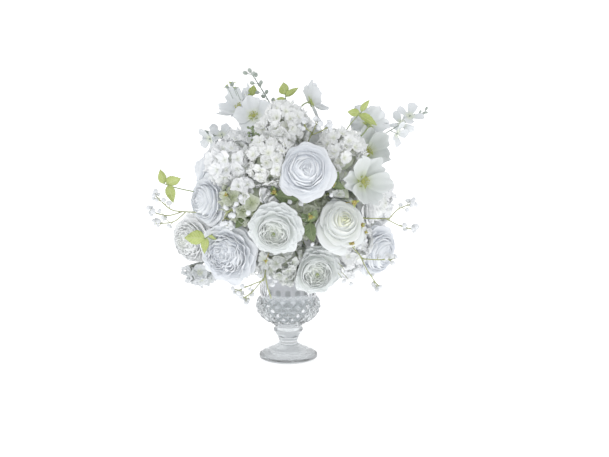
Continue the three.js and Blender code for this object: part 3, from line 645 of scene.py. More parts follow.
@dataclass(frozen=True)
class Layer:
    """One ring of petals that wrap round the bloom's axis. Lengths are in bloom radii."""

    petals: int
    reach: float
    rise: float
    belly: float
    wrap: float
    curl: float
    ruffle: float
    crumple: float
    uneven: float = 1.0
    frill: float = 0.0
    tip: float = 0.3
    point: float = 2.6
    columns: int = 7

    def surface(self, angle: float, draw: random.Random) -> Surface:
        """Draws one petal.

        Args:
            angle: Where its middle lies round the axis.
            draw: The source of its small differences.

        Returns:
            The petal's surface.
        """
        half = self.wrap * draw.uniform(0.88, 1.12) * math.pi / self.petals
        phase, fine, other, seed = (draw.uniform(0, FULL_TURN) for _ in range(4))
        reach = self.reach * (1 + self.uneven * draw.uniform(-0.05, 0.03))
        lip_height = self.rise + self.uneven * draw.uniform(-0.04, 0.03)
        slant = self.uneven * draw.uniform(-0.07, 0.07)
        full = reach * 0.94 + self.belly
        low = min(0.62, full * 0.8)

        def shape(u: float, v: float) -> Vector:
            """The petal's point.

            Args:
                u: From -1 to 1 across.
                v: From 0 to 1 along.

            Returns:
                The point.
            """
            side = abs(u)
            t = v * (1 - self.tip * side ** self.point + 0.04 * math.cos(3 * u + phase))
            out = bezier(0.1, low, full, reach, t)
            up = bezier(-0.42, -0.32, lip_height - 0.24, lip_height, t)
            lip = smooth(0.58, 1.0, t)
            out += self.curl * lip
            up -= self.curl * lip * lip * 1.1
            wave = self.ruffle * math.sin(2.2 * math.pi * u + phase)
            edge = self.frill * (math.sin(6 * math.pi * u + fine) + 0.8 * math.sin(10 * math.pi * u + other))
            crease = noise.noise(Vector((u * 2.1 + seed, t * 2.4, seed * 3)))
            crease += 0.5 * noise.noise(Vector((u * 5.0 - seed, t * 5.0, seed)))
            out += t * t * (wave + edge * lip + slant * u) + self.crumple * t * crease
            up += t * t * (0.6 * self.ruffle * math.cos(3.1 * math.pi * u + other) + 0.9 * edge * lip)
            width = 0.6 + 0.4 * smooth(0.0, 0.6, t)
            return round_place(out, angle + u * half * width, up)

        return shape


@dataclass(frozen=True)
class OpenPetal:
    """A free petal of an open flower. Lengths are in flower radii."""

    width: float = 0.4
    start: float = 0.06
    root: float = -0.04
    rise: float = 0.2
    sag: float = 0.1
    cup: float = 0.12
    ruffle: float = 0.03
    tip: float = 0.3
    swell: float = 0.75
    crumple: float = 0.05

    def surface(self, angle: float, draw: random.Random, reach: float = 1.0) -> Surface:
        """Draws one petal.

        Args:
            angle: Where its middle lies round the axis.
            draw: The source of its small differences.
            reach: Its length in flower radii.

        Returns:
            The petal's surface.
        """
        phase, other, seed = (draw.uniform(0, FULL_TURN) for _ in range(3))
        tall, turn = draw.uniform(-0.06, 0.06), draw.uniform(-0.12, 0.12)
        outward, sideways = (round_place(1, way, 0) for way in (angle, angle + math.pi / 2))

        def shape(u: float, v: float) -> Vector:
            """The petal's point.

            Args:
                u: From -1 to 1 across.
                v: From 0 to 1 along.

            Returns:
                The point.
            """
            t = v * (1 - self.tip * abs(u) ** 2.2)
            out = self.start + (reach - self.start) * t
            broad = self.width * (0.16 + 0.84 * math.sin(math.pi * min(t * self.swell, 0.98)) ** 0.85)
            across = u * broad
            up = self.root + (self.rise + tall - self.root) * t ** 1.3
            up -= self.sag * math.sin(math.pi * t) * 0.5
            up += self.cup * u * u * math.sin(math.pi * min(t * 0.8, 1)) * self.width * 2
            up += self.ruffle * t * t * math.sin(2.4 * math.pi * u + phase)
            up += 0.35 * self.ruffle * t * math.sin(6 * math.pi * u + 2 * t + other)
            up -= 0.16 * self.width * t * (1 - t) * math.exp(-30 * u * u)
            up += 0.5 * self.ruffle * t * math.sin(5 * t + other) + turn * across * t
            up += self.crumple * t * noise.noise(Vector((u * 1.7 + seed, t * 2.6, seed * 3)))
            out += self.crumple * t * noise.noise(Vector((u * 2.4 - seed, t, seed)))
            return outward * out + sideways * across + UP * up

        return shape


# Blooms

@dataclass
class Bloom:
    """A bloom at the end of its stem. Its place and radius are in millimetres."""

    name: str
    at: Triple
    radius: float
    finish: PetalFinish
    face: Optional[Triple] = None
    stem: Sequence[Triple] = ()
    neighbours: Sequence["Bloom"] = field(default=(), repr=False)
    index: int = 0
    sepal: OpenPetal = OpenPetal(width=0.42, rise=0.3, sag=-0.3, tip=0.5, cup=0.3)
    sepals: int = 5
    touch: float = 1.08  # how near another bloom must be to be pressed on, in the two radii together
    loose: ClassVar[bool] = False
    lies_over: ClassVar[bool] = False

    @property
    def centre(self) -> Vector:
        """The bloom's middle in metres."""
        return Vector(self.at) * MM

    @property
    def size(self) -> float:
        """The bloom's radius in metres."""
        return self.radius * MM

    @property
    def facing(self) -> Vector:
        """The way the bloom faces, which is away from the dome's middle unless it is given."""
        return (Vector(self.face) if self.face else self.centre - BALL).normalized()

    @property
    def place(self) -> Matrix:
        """The bloom's own frame, in bloom radii."""
        return placement(self.centre, self.facing, self.index * 1.7) @ Matrix.Scale(self.size, 4)

    def walls(self) -> list[tuple[Vector, float]]:
        """The planes between this bloom and each one it presses on.

        Returns:
            Their normals and their distances from the origin.
        """
        planes = []
        for other in self.neighbours:
            apart = other.centre - self.centre
            far = apart.length > (self.size + other.size) * self.touch
            if other is self or far or (self.lies_over and other.loose):
                continue
            share = (apart.length**2 + self.size**2 - other.size**2) / (2 * apart.length)
            normal = apart.normalized()
            planes.append((normal, normal.dot(self.centre) + share - GAP / 2))
        return planes

    def draw(self) -> random.Random:
        """A seeded source of the bloom's small differences."""
        return random.Random(f"{self.name} petals")

    def nodes(self) -> list[str]:
        """The nodes of the frame that the bloom's pieces stand for."""
        return [self.name, self.name + "_stem"] if self.stem else [self.name]

    def stalk_line(self, base: Vector) -> list[Vector]:
        """The stem's line from inside the foam to the bloom.

        Args:
            base: Where it meets the bloom.

        Returns:
            The line's points.
        """
        path = [*(Vector(p) * MM for p in self.stem), base]
        root = HUB + (path[0] - HUB).normalized() * STEM_START
        return rounded([root, *path], 5)

    def build_stalk(self, depth: float, cup: float) -> None:
        """Makes the green stem with the cup and sepals under the bloom.

        Args:
            depth: How far below the bloom's middle the stem meets it, in bloom radii.
            cup: The radius of the green cup there, in bloom radii.
        """
        maker, sepals, draw = Maker(), Maker(), self.draw()
        base = self.centre - self.facing * depth * self.size
        maker.tube(self.stalk_line(base), STEM_RADIUS, STEM_RADIUS * 0.85, sides=8)
        maker.cone(base - self.facing * 0.06 * self.size, self.facing, STEM_RADIUS, cup * self.size,
                   cup * self.size * 0.9, sides=12)
        maker.piece(self.name + "_stalk", STEM_GREEN, self.nodes())
        place = placement(base, self.facing, self.index) @ Matrix.Scale(max(cup * 2.6, 0.3) * self.size, 4)
        for i in range(self.sepals):
            surface = self.sepal.surface(i * FULL_TURN / self.sepals, draw)
            sepals.blade(surface, place, 4, 6, draw.random())
        sepals.piece(self.name + "_sepals", LIME_LEAF, self.nodes(), PETAL_WALL)


@dataclass
class LayeredBloom(Bloom):
    """A full bloom of many petals, one ring inside another."""

    layers: Sequence[Layer] = ()
    eye: float = 0.0
    eye_stamens: int = 14
    twist: float = 2.1  # from one ring to the next, in radians
    rows: int = 8  # of faces along a petal
    core: float = 0.6
    core_length: float = 0.55
    core_drop: float = 0.14  # from the innermost lips down to the core
    core_lumps: float = 0.08
    stalk_depth: float = 0.46
    cup: float = 0.15

    def build(self) -> None:
        """Makes the petals, the stalk and, where it shows, the green eye."""
        maker, draw = Maker(), self.draw()
        for k, layer in enumerate(self.layers):
            for i in range(layer.petals):
                angle = k * self.twist + FULL_TURN * (i + draw.uniform(-0.1, 0.1)) / layer.petals
                reach = min(1.0, 0.15 + 1.1 * layer.reach)
                maker.blade(layer.surface(angle, draw), self.place, layer.columns, self.rows, draw.random(),
                            reach)
        maker.press(self.walls())
        maker.piece(self.name + "_petals", self.finish, self.nodes(), PETAL_WALL, rounds=1)
        self.build_core()
        if self.eye:
            self.build_eye(draw)
        self.build_stalk(self.stalk_depth, self.cup)

    def build_core(self) -> None:
        """Makes the dense core that the petals close round, just under their lips."""
        maker = Maker()
        middle = self.place @ Vector((0, 0, self.layers[-1].rise - self.core_drop - self.core_length))
        maker.bead(middle, self.facing, self.core * self.size, self.core_length * self.size,
                   around=28, rings=20)
        for vertex in maker.mesh.verts:
            vertex.co += (vertex.co - middle) * self.core_lumps * noise.noise(vertex.co * 300)
        maker.press(self.walls())
        maker.piece(self.name + "_core", self.finish, self.nodes())

    def build_eye(self, draw: random.Random) -> None:
        """Makes the dark green eye and the fine stamens round it.

        Args:
            draw: The source of their small differences.
        """
        maker, place = Maker(), self.place
        maker.bead(place @ Vector((0, 0, self.eye)), self.facing, 0.06 * self.size, 0.05 * self.size)
        for i in range(self.eye_stamens):
            tip = round_place(draw.uniform(0.06, 0.12), i * GOLDEN_ANGLE, self.eye + draw.uniform(0.02, 0.08))
            root = Vector((tip.x * 0.5, tip.y * 0.5, self.eye - 0.06))
            maker.tube([place @ root, place @ tip], 0.3 * MM, 0.3 * MM, sides=4)
            maker.bead(place @ tip, self.facing, 0.6 * MM, 0.8 * MM, around=5, rings=4)
        maker.piece(self.name + "_eye", STEM_GREEN, self.nodes())


@dataclass
class OpenBlossom(Bloom):
    """An open flower with a few free petals round its stamens."""

    petals: int = 5
    petal: OpenPetal = OpenPetal()
    stamens: int = 16
    droop: float = 0.0
    stagger: float = 0.16
    hangs: float = -0.25  # a petal that points down further than this droops
    cup: float = 0.1
    loose: ClassVar[bool] = True
    lies_over: ClassVar[bool] = True

    def build(self) -> None:
        """Makes the petals, the stamens and the stalk."""
        maker, draw = Maker(), self.draw()
        for i in range(self.petals):
            angle = FULL_TURN * (i + draw.uniform(-0.07, 0.07)) / self.petals
            low = (self.place.to_3x3() @ round_place(1, angle, 0)).normalized().z < self.hangs
            petal = replace(self.petal, rise=self.petal.rise + self.stagger * (i % 2 - 0.5),
                            width=self.petal.width * (1 - self.droop * low))
            surface = petal.surface(angle, draw, draw.uniform(0.93, 1.03))
            maker.blade(surface, self.place, 9, 10, draw.random())
        maker.press(self.walls())
        maker.piece(self.name + "_petals", self.finish, self.nodes(), SHEER_WALL, rounds=1)
        self.build_stamens(draw)
        self.build_stalk(abs(self.petal.root) + 0.1, self.cup)

    def build_stamens(self, draw: random.Random) -> None:
        """Makes the stamens.

        Args:
            draw: The source of their small differences.
        """
        maker, place, low = Maker(), self.place, self.petal.root
        for i in range(self.stamens):
            angle = i * GOLDEN_ANGLE
            out = 0.05 + 0.13 * math.sqrt((i + 0.5) / self.stamens)
            tip = place @ round_place(out, angle, low + draw.uniform(0.18, 0.3))
            maker.tube([place @ round_place(out * 0.3, angle, low), tip], 0.35 * MM, 0.3 * MM, sides=4)
            maker.bead(tip, self.facing, 0.9 * MM, 1.3 * MM, around=6, rings=4)
        middle = place @ Vector((0, 0, low + 0.04))
        maker.bead(middle, self.facing, 0.09 * self.size, 0.07 * self.size, around=10, rings=6)
        maker.piece(self.name + "_stamens", STAMEN_LIME, self.nodes())


@dataclass(frozen=True)
class Tier:
    """One of the two tiers of a head's florets. Lengths are in bloom radii, of a head of depth 1."""

    count: int
    low: float  # how far out the florets sit, at least
    high: float  # and at most
    clear: float  # how far they keep from the neighbours
    # Less of it leaves a floret greener and darker: partly the green of younger florets, partly painted shade
    # deep in the head.
    ripe: float  # how far they have turned from green to their lip's colour


@dataclass
class FloretHead(Bloom):
    """A round head of small ruffled florets on thin green stalks, in two tiers so that none shows bare."""

    florets: int = 44
    under: int = 26
    floret: float = 0.29
    depth: float = 1.0
    cover: float = 1.5
    core: float = 0.56
    tilt: float = 0.45
    fifth_petal: float = 0.35  # how often a floret has five petals and not four
    unripe: Optional[Triple] = None
    loose: ClassVar[bool] = True

    def build(self) -> None:
        """Makes the florets, their stalks and the stem."""
        florets, stalks, walls, draw = Maker(), Maker(), self.walls(), self.draw()
        green = Maker() if self.unripe else florets
        # The under tier gets less of the range, so it is greener and darker: painted shade under the top
        # florets, partly their own green.
        self.add_tier(florets, green, stalks, Tier(self.under, low=0.62, high=0.72, clear=0.06, ripe=0.45),
                      draw)
        self.add_tier(florets, green, stalks, Tier(self.florets, low=0.78, high=0.9, clear=0.02, ripe=1.0),
                      draw)
        florets.press(walls)
        florets.piece(self.name + "_florets", self.finish, self.nodes(), SHEER_WALL)
        if self.unripe:
            green.press(walls)
            green.piece(self.name + "_unripe", FLORET_GREEN, self.nodes(), SHEER_WALL)
        core = self.core * self.depth * self.size
        stalks.bead(self.centre, self.facing, core, core, around=24, rings=18)
        base = self.centre - self.facing * 0.3 * self.size
        stalks.tube(self.stalk_line(base), STEM_RADIUS, STEM_RADIUS, sides=8)
        stalks.press(walls)
        stalks.piece(self.name + "_stalks", STALK_PALE, self.nodes())

    def walls(self) -> list[tuple[Vector, float]]:
        """The planes between this head and its neighbours, and one above the vase's rim for the lowest."""
        over_rim = self.centre.z < NEAR_RIM and self.centre.xy.length < OVER_RIM
        return super().walls() + ([(-UP, -RIM_CLEAR)] if over_rim else [])

    def add_tier(self, florets: Maker, green: Maker, stalks: Maker, tier: Tier, draw: random.Random) -> None:
        """Adds one tier of florets, spread evenly over the head.

        Args:
            florets: The mesh of florets.
            green: The mesh of those on its unripe side.
            stalks: The mesh of their stalks.
            tier: Its number of florets and where they sit.
            draw: The source of their small differences.
        """
        walls = self.walls()
        for i in range(tier.count):
            height = 1 - ((i + 0.4) / tier.count) * self.cover
            flat = math.sqrt(max(1 - height * height, 0))
            angle = i * GOLDEN_ANGLE + draw.uniform(-0.3, 0.3)
            way = round_place(flat, angle, height + draw.uniform(-0.08, 0.08)).normalized()
            at = self.place @ (way * draw.uniform(tier.low * self.depth, tier.high * self.depth))
            if any(normal.dot(at) > offset - tier.clear * self.size for normal, offset in walls):
                continue
            out = (at - self.centre).normalized()
            facing = out + scatter(draw, self.tilt)
            unripe = self.unripe and out.dot(Vector(self.unripe).normalized()) > 0.1
            self.add_floret(green if unripe else florets, at, facing, tier.ripe, draw)
            stalks.tube([self.centre.lerp(at, 0.3), at - facing.normalized() * 0.05 * self.size],
                        0.7 * MM, 0.5 * MM, sides=4)

    def add_floret(self, maker: Maker, at: Vector, facing: Vector, ripe: float, draw: random.Random) -> None:
        """Adds one floret, of four petals or now and then of five.

        Args:
            maker: The mesh it goes into.
            at: Its middle.
            facing: The way it faces.
            ripe: How far it has turned from green to its lip's colour.
            draw: The source of its small differences.
        """
        size = self.floret * self.size * draw.uniform(0.85, 1.15)
        place = placement(at, facing, draw.uniform(0, math.pi)) @ Matrix.Scale(size, 4)
        petals = 5 if draw.random() < self.fifth_petal else 4
        shade = draw.random()
        petal = OpenPetal(width=0.55, rise=draw.uniform(0.05, 0.55), sag=0.2, cup=0.25, ruffle=0.16,
                          tip=draw.uniform(0.3, 0.5), crumple=0.35)
        for i in range(petals):
            angle = FULL_TURN * (i + draw.uniform(-0.08, 0.08)) / petals
            maker.blade(petal.surface(angle, draw, draw.uniform(0.85, 1.15)), place, 4, 3, shade, ripe)


@dataclass
class Tuft(FloretHead):
    """A few more florets of a head that hang into the gap beside it."""

    florets: int = 16
    under: int = 8
    floret: float = 0.55
    head: str = ""

    def nodes(self) -> list[str]:
        """The node of the head that the tuft belongs to."""
        return [self.head]

    def walls(self) -> list[tuple[Vector, float]]:
        """The planes between the tuft and its neighbours, none of them above the rim."""
        return Bloom.walls(self)


def rings(*rows: tuple[float, ...], **shared: float) -> tuple[Layer, ...]:
    """Makes the layers of a bloom from the outermost in; each row holds the first facts of a layer."""
    return tuple(Layer(*row, **shared) for row in rows)


# Each row: petals, reach, rise, belly, wrap, curl, ruffle and crumple, and where they matter also uneven,
# frill, tip and point.
ROSE_RINGS = rings(
    (5, 0.88, 0.0, 0.06, 1.3, 0.21, 0.06, 0.06), (5, 0.79, 0.14, 0.12, 1.35, 0.19, 0.06, 0.06, 1.3),
    (5, 0.68, 0.27, 0.17, 1.4, 0.17, 0.055, 0.06, 1.5), (4, 0.59, 0.36, 0.2, 1.35, 0.14, 0.05, 0.05, 1.6),
    (4, 0.5, 0.43, 0.23, 1.4, 0.12, 0.045, 0.05, 1.6), (4, 0.42, 0.48, 0.25, 1.4, 0.1, 0.04, 0.04, 1.5),
    (3, 0.34, 0.52, 0.26, 1.4, 0.08, 0.035, 0.04, 1.4), (3, 0.27, 0.55, 0.26, 1.45, 0.06, 0.03, 0.04, 1.2),
    (3, 0.2, 0.57, 0.24, 1.45, 0.045, 0.03, 0.03), (3, 0.14, 0.585, 0.2, 1.5, 0.03, 0.025, 0.03),
    (3, 0.09, 0.595, 0.16, 1.5, 0.01, 0.02, 0.03), (2, 0.04, 0.6, 0.1, 1.5, 0.0, 0.01, 0.02))
OPEN_ROSE_RINGS = rings(
    (5, 0.86, -0.1, 0.04, 1.25, 0.28, 0.05, 0.07, 1.6, 0.0, 0.4, 1.5),
    (4, 0.72, 0.1, 0.1, 1.35, 0.28, 0.05, 0.07, 2.0, 0.0, 0.38, 1.5),
    (4, 0.58, 0.3, 0.14, 1.35, 0.24, 0.05, 0.06, 2.0, 0.0, 0.34, 1.6),
    (3, 0.42, 0.46, 0.2, 1.4, 0.17, 0.04, 0.05, 1.6, 0.0, 0.26, 1.8),
    (3, 0.32, 0.53, 0.22, 1.4, 0.1, 0.03, 0.04, 1.4, 0.0, 0.2),
    (3, 0.24, 0.57, 0.22, 1.45, 0.06, 0.03, 0.03), (3, 0.17, 0.59, 0.2, 1.5, 0.04, 0.03, 0.03),
    (3, 0.1, 0.6, 0.16, 1.5, 0.02, 0.02, 0.03), (2, 0.05, 0.6, 0.1, 1.5, 0.0, 0.01, 0.02))
PEONY_RINGS = rings(
    (5, 0.9, 0.0, 0.05, 1.35, 0.2, 0.08, 0.06, 1.0, 0.008),
    (5, 0.8, 0.15, 0.1, 1.35, 0.18, 0.08, 0.06, 1.0, 0.01),
    (5, 0.69, 0.29, 0.14, 1.35, 0.15, 0.07, 0.07, 1.0, 0.01),
    (6, 0.6, 0.39, 0.17, 1.4, 0.13, 0.06, 0.055, 1.0, 0.012),
    (6, 0.52, 0.46, 0.2, 1.4, 0.11, 0.05, 0.055, 1.0, 0.013),
    (6, 0.44, 0.51, 0.22, 1.4, 0.1, 0.05, 0.055, 1.0, 0.013),
    (6, 0.37, 0.54, 0.22, 1.4, 0.08, 0.05, 0.055, 1.0, 0.013),
    (6, 0.3, 0.56, 0.22, 1.4, 0.07, 0.045, 0.055, 1.0, 0.013),
    (5, 0.23, 0.575, 0.2, 1.4, 0.06, 0.04, 0.07, 1.0, 0.012),
    (5, 0.17, 0.58, 0.18, 1.4, 0.04, 0.04, 0.07, 1.0, 0.012),
    (4, 0.11, 0.58, 0.15, 1.5, 0.03, 0.03, 0.06, 1.0, 0.01),
    (3, 0.05, 0.57, 0.1, 1.5, 0.0, 0.02, 0.04, 1.0, 0.01), columns=11)
RANUNCULUS_SKIRT = rings(
    (7, 0.9, -0.02, 0.04, 1.4, 0.16, 0.045, 0.04, 1.0, 0.013),
    (7, 0.83, 0.08, 0.07, 1.4, 0.15, 0.045, 0.04, 1.0, 0.013),
    (7, 0.76, 0.18, 0.1, 1.4, 0.14, 0.04, 0.04, 1.0, 0.013),
    (6, 0.68, 0.27, 0.13, 1.4, 0.12, 0.035, 0.04, 1.0, 0.012), columns=24)
RANUNCULUS_COLLAR = rings(
    (3, 0.58, 0.41, 0.14, 1.35, 0.07, 0.015, 0.02, 1.0, 0.0, 0.1),
    (3, 0.5, 0.42, 0.17, 1.35, 0.05, 0.02, 0.02, 1.0, 0.0, 0.12))
RANUNCULUS_HEART = rings(
    (6, 0.43, 0.41, 0.19, 1.45, 0.07, 0.035, 0.04, 0.8, 0.012),
    (6, 0.36, 0.415, 0.2, 1.45, 0.065, 0.035, 0.05, 0.8, 0.012),
    (6, 0.3, 0.415, 0.2, 1.45, 0.06, 0.035, 0.05, 0.8, 0.012),
    (5, 0.24, 0.41, 0.19, 1.45, 0.05, 0.03, 0.05, 0.8, 0.012),
    (5, 0.18, 0.395, 0.17, 1.45, 0.04, 0.03, 0.05, 0.8, 0.012),
    (5, 0.12, 0.37, 0.14, 1.45, 0.02, 0.03, 0.04, 0.8, 0.01), columns=11)
RANUNCULUS_RINGS = RANUNCULUS_SKIRT + RANUNCULUS_COLLAR + RANUNCULUS_HEART
FLAT_PETAL = OpenPetal(width=0.46, rise=0.22, sag=0.1, cup=0.12, ruffle=0.07, tip=0.25, crumple=0.12)
CUP_PETAL = OpenPetal(width=0.4, root=-0.24, rise=0.36, sag=0.3, cup=0.3, ruffle=0.1, tip=0.3, crumple=0.2)


class Kind(Enum):
    """The kinds of bloom, each with its class and what sets it apart."""

    ROSE = (LayeredBloom, {"layers": ROSE_RINGS})
    OPEN_ROSE = (LayeredBloom, {"layers": OPEN_ROSE_RINGS})
    PEONY = (LayeredBloom, {"layers": PEONY_RINGS})
    RANUNCULUS = (LayeredBloom, {"layers": RANUNCULUS_RINGS, "eye": 0.32})
    BLOSSOM = (OpenBlossom, {"petal": FLAT_PETAL})
    DROOPING = (OpenBlossom, {"petal": FLAT_PETAL, "droop": 0.5, "petals": 6})
    CUP = (OpenBlossom, {"petal": CUP_PETAL, "petals": 6, "stamens": 22, "stagger": 0.3})
    HYDRANGEA = (FloretHead, {})
    HALF_RIPE = (FloretHead, {"unripe": (-0.6, -0.2, -1)})
    FILLER = (FloretHead, {"depth": 0.8})
    STOCK = (FloretHead, {"florets": 10, "under": 7, "floret": 0.72})

    def make(self, **facts: object) -> Bloom:
        """Makes a bloom of this kind from its name, place, size, finish and facing."""
        kind, traits = self.value
        return kind(**traits, **facts)


# The blooms: kind, name, middle, radius and finish, and the way each faces if it isn't straight out.
BLOOMS = (
    (Kind.ROSE, "rose_upper", (29, -137, 341), 46, BLUE_WHITE, (0.1, -1, 0.3)),
    (Kind.RANUNCULUS, "ranunculus_middle", (-19, -152, 247), 42, CREAM_WHITE),
    (Kind.OPEN_ROSE, "rose_right", (87, -120, 254), 46, YELLOW_HEART, (0.3, -1, 0.5)),
    (Kind.RANUNCULUS, "ranunculus_low", (47, -99, 171), 42, CREAM_WHITE, (0.15, -1, -0.2)),
    (Kind.PEONY, "peony_left", (-98, -96, 200), 50, BLUE_WHITE, (-0.4, -1, -0.1)),
    (Kind.ROSE, "rose_left", (-133, -62, 282), 43, BLUE_WHITE, (-0.8, -0.7, 0.05)),
    (Kind.PEONY, "peony_far_left", (-164, -24, 210), 42, WHITE, (-0.7, -0.8, -0.1)),
    (Kind.ROSE, "rose_left_upper", (-134, 10, 324), 45, BLUE_WHITE),
    (Kind.PEONY, "carnation_right", (142, -34, 276), 42, WHITE),
    (Kind.ROSE, "peony_low_right", (152, -20, 190), 46, BLUE_WHITE, (0.8, -0.8, -0.15)),
    (Kind.HYDRANGEA, "hydrangea_left", (-86, -80, 346), 48, FLORET_WHITE),
    (Kind.HYDRANGEA, "hydrangea_middle", (-27, -108, 350), 45, FLORET_CREAM),
    (Kind.HALF_RIPE, "hydrangea_centre", (-62, -102, 292), 48, FLORET_WHITE),
    (Kind.HYDRANGEA, "hydrangea_top", (-8, -58, 400), 48, FLORET_CREAM),
    (Kind.HYDRANGEA, "hydrangea_right", (86, -62, 358), 45, FLORET_CREAM),
    (Kind.FILLER, "hydrangea_inner", (28, -78, 264), 54, FLORET_GREEN, (0.1, -1, 0.1)),
    (Kind.HYDRANGEA, "hydrangea_low_left", (-68, -56, 204), 54, FLORET_WHITE, (-0.4, -1, -0.4)),
    (Kind.HYDRANGEA, "hydrangea_low", (-8, -86, 190), 46, FLORET_SHADE, (0, -1, -0.4)),
    (Kind.HYDRANGEA, "hydrangea_low_right", (94, -34, 206), 54, FLORET_WHITE, (0.6, -1, -0.3)),
    (Kind.STOCK, "stock_low_left", (-150, -30, 157), 22, SHADED_SHEER_WHITE),
    (Kind.CUP, "blossom_top_left", (-84, 6, 436), 38, SHADED_SHEER_WHITE, (-0.7, -0.5, 0.8)),
    (Kind.BLOSSOM, "blossom_top", (-56, -42, 422), 34, SHADED_SHEER_WHITE, (-0.1, -1, 0.5)),
    (Kind.CUP, "lily_right", (136, -6, 360), 40, SHADED_SHEER_CREAM, (0.1, -1, 0.2)),
    (Kind.CUP, "blossom_right", (128, -88, 318), 44, SHADED_SHEER_CREAM, (0.5, -1, 0.15)),
    (Kind.ROSE, "rose_back_left", (-108, 90, 252), 56, BLUE_WHITE),
    (Kind.ROSE, "rose_back", (-24, 140, 290), 56, CREAM_WHITE),
    (Kind.ROSE, "rose_back_right", (76, 120, 248), 56, BLUE_WHITE),
    (Kind.PEONY, "peony_back_top", (10, 56, 386), 54, WHITE),
    (Kind.PEONY, "peony_back_low", (-14, 108, 206), 58, BLUE_WHITE),
    (Kind.HYDRANGEA, "hydrangea_crown", (-32, 26, 370), 46, FLORET_WHITE, (-0.4, 0.3, 1)),
    (Kind.HYDRANGEA, "hydrangea_back_left", (-80, 86, 332), 58, FLORET_WHITE),
    (Kind.HYDRANGEA, "hydrangea_back_right", (66, 92, 336), 52, FLORET_CREAM),
    (Kind.HYDRANGEA, "hydrangea_back_low_left", (-88, 52, 192), 58, FLORET_CREAM),
    (Kind.HYDRANGEA, "hydrangea_back_low_right", (86, 56, 188), 58, FLORET_WHITE),
    (Kind.HYDRANGEA, "hydrangea_side_left", (-114, 16, 256), 50, FLORET_WHITE),
    (Kind.HYDRANGEA, "hydrangea_side_right", (126, 34, 266), 56, FLORET_WHITE),
    (Kind.DROOPING, "blossom_tall", (40, -22, 444), 34, SHADED_SHEER_WHITE, (0.85, 0.4, 0.3)),
    (Kind.BLOSSOM, "blossom_turned", (136, -2, 406), 36, SHADED_SHEER_WHITE, (0.15, 0.8, 0.5)),
)
# The tufts: name, middle, radius, finish, and the head each belongs to.
TUFTS = (
    ("tuft_right", (94, -82, 304), 27, FLORET_SHADE, "hydrangea_right"),
    ("tuft_low", (4, -90, 168), 20, FLORET_SHADE, "hydrangea_low"),
    ("tuft_side", (72, 12, 316), 38, FLORET_SHADE, "hydrangea_side_right"),
)
TALL_STEMS = {
    "blossom_tall": ((8, -30, 388), (12, -30, 420), (26, -25, 439)),
    "blossom_turned": ((92, -10, 358), (120, -22, 384), (133, -14, 398)),
}


def all_blooms() -> list[Bloom]:
    """Makes the blooms and tells each what it presses on.

    Returns:
        The blooms.
    """
    blooms = []
    for index, (kind, name, at, radius, finish, *face) in enumerate(BLOOMS):
        blooms.append(kind.make(name=name, at=at, radius=radius, finish=finish, index=index,
                                face=face[0] if face else None, stem=TALL_STEMS.get(name, ())))
    for bloom in blooms:
        bloom.neighbours = blooms
    tufts = [Tuft(name, at, radius, finish, head=head,
                  neighbours=[bloom for bloom in blooms if bloom.name != head])
             for name, at, radius, finish, head in TUFTS]
    return [*blooms, *tufts]


# Sprays

@dataclass
class Spray:
    """Something fine on a stem of its own."""

    name: str
    stem: Sequence[Triple]

    def path(self) -> list[Vector]:
        """The stem's points in metres, from inside the foam."""
        points = [Vector(p) * MM for p in self.stem]
        return [HUB + (points[0] - HUB).normalized() * STEM_START, *points]

    def tip_run(self) -> tuple[Vector, Vector, Vector]:
        """The last run of the stem.

        Returns:
            Where it starts, the whole way from there to the tip, and a direction square to it.
        """
        start, tip = self.path()[-2:]
        along = tip - start
        return start, along, along.normalized().cross(BACKWARD).normalized()

    def draw(self) -> random.Random:
        """A seeded source of the spray's small differences."""
        return random.Random(f"{self.name} spray")


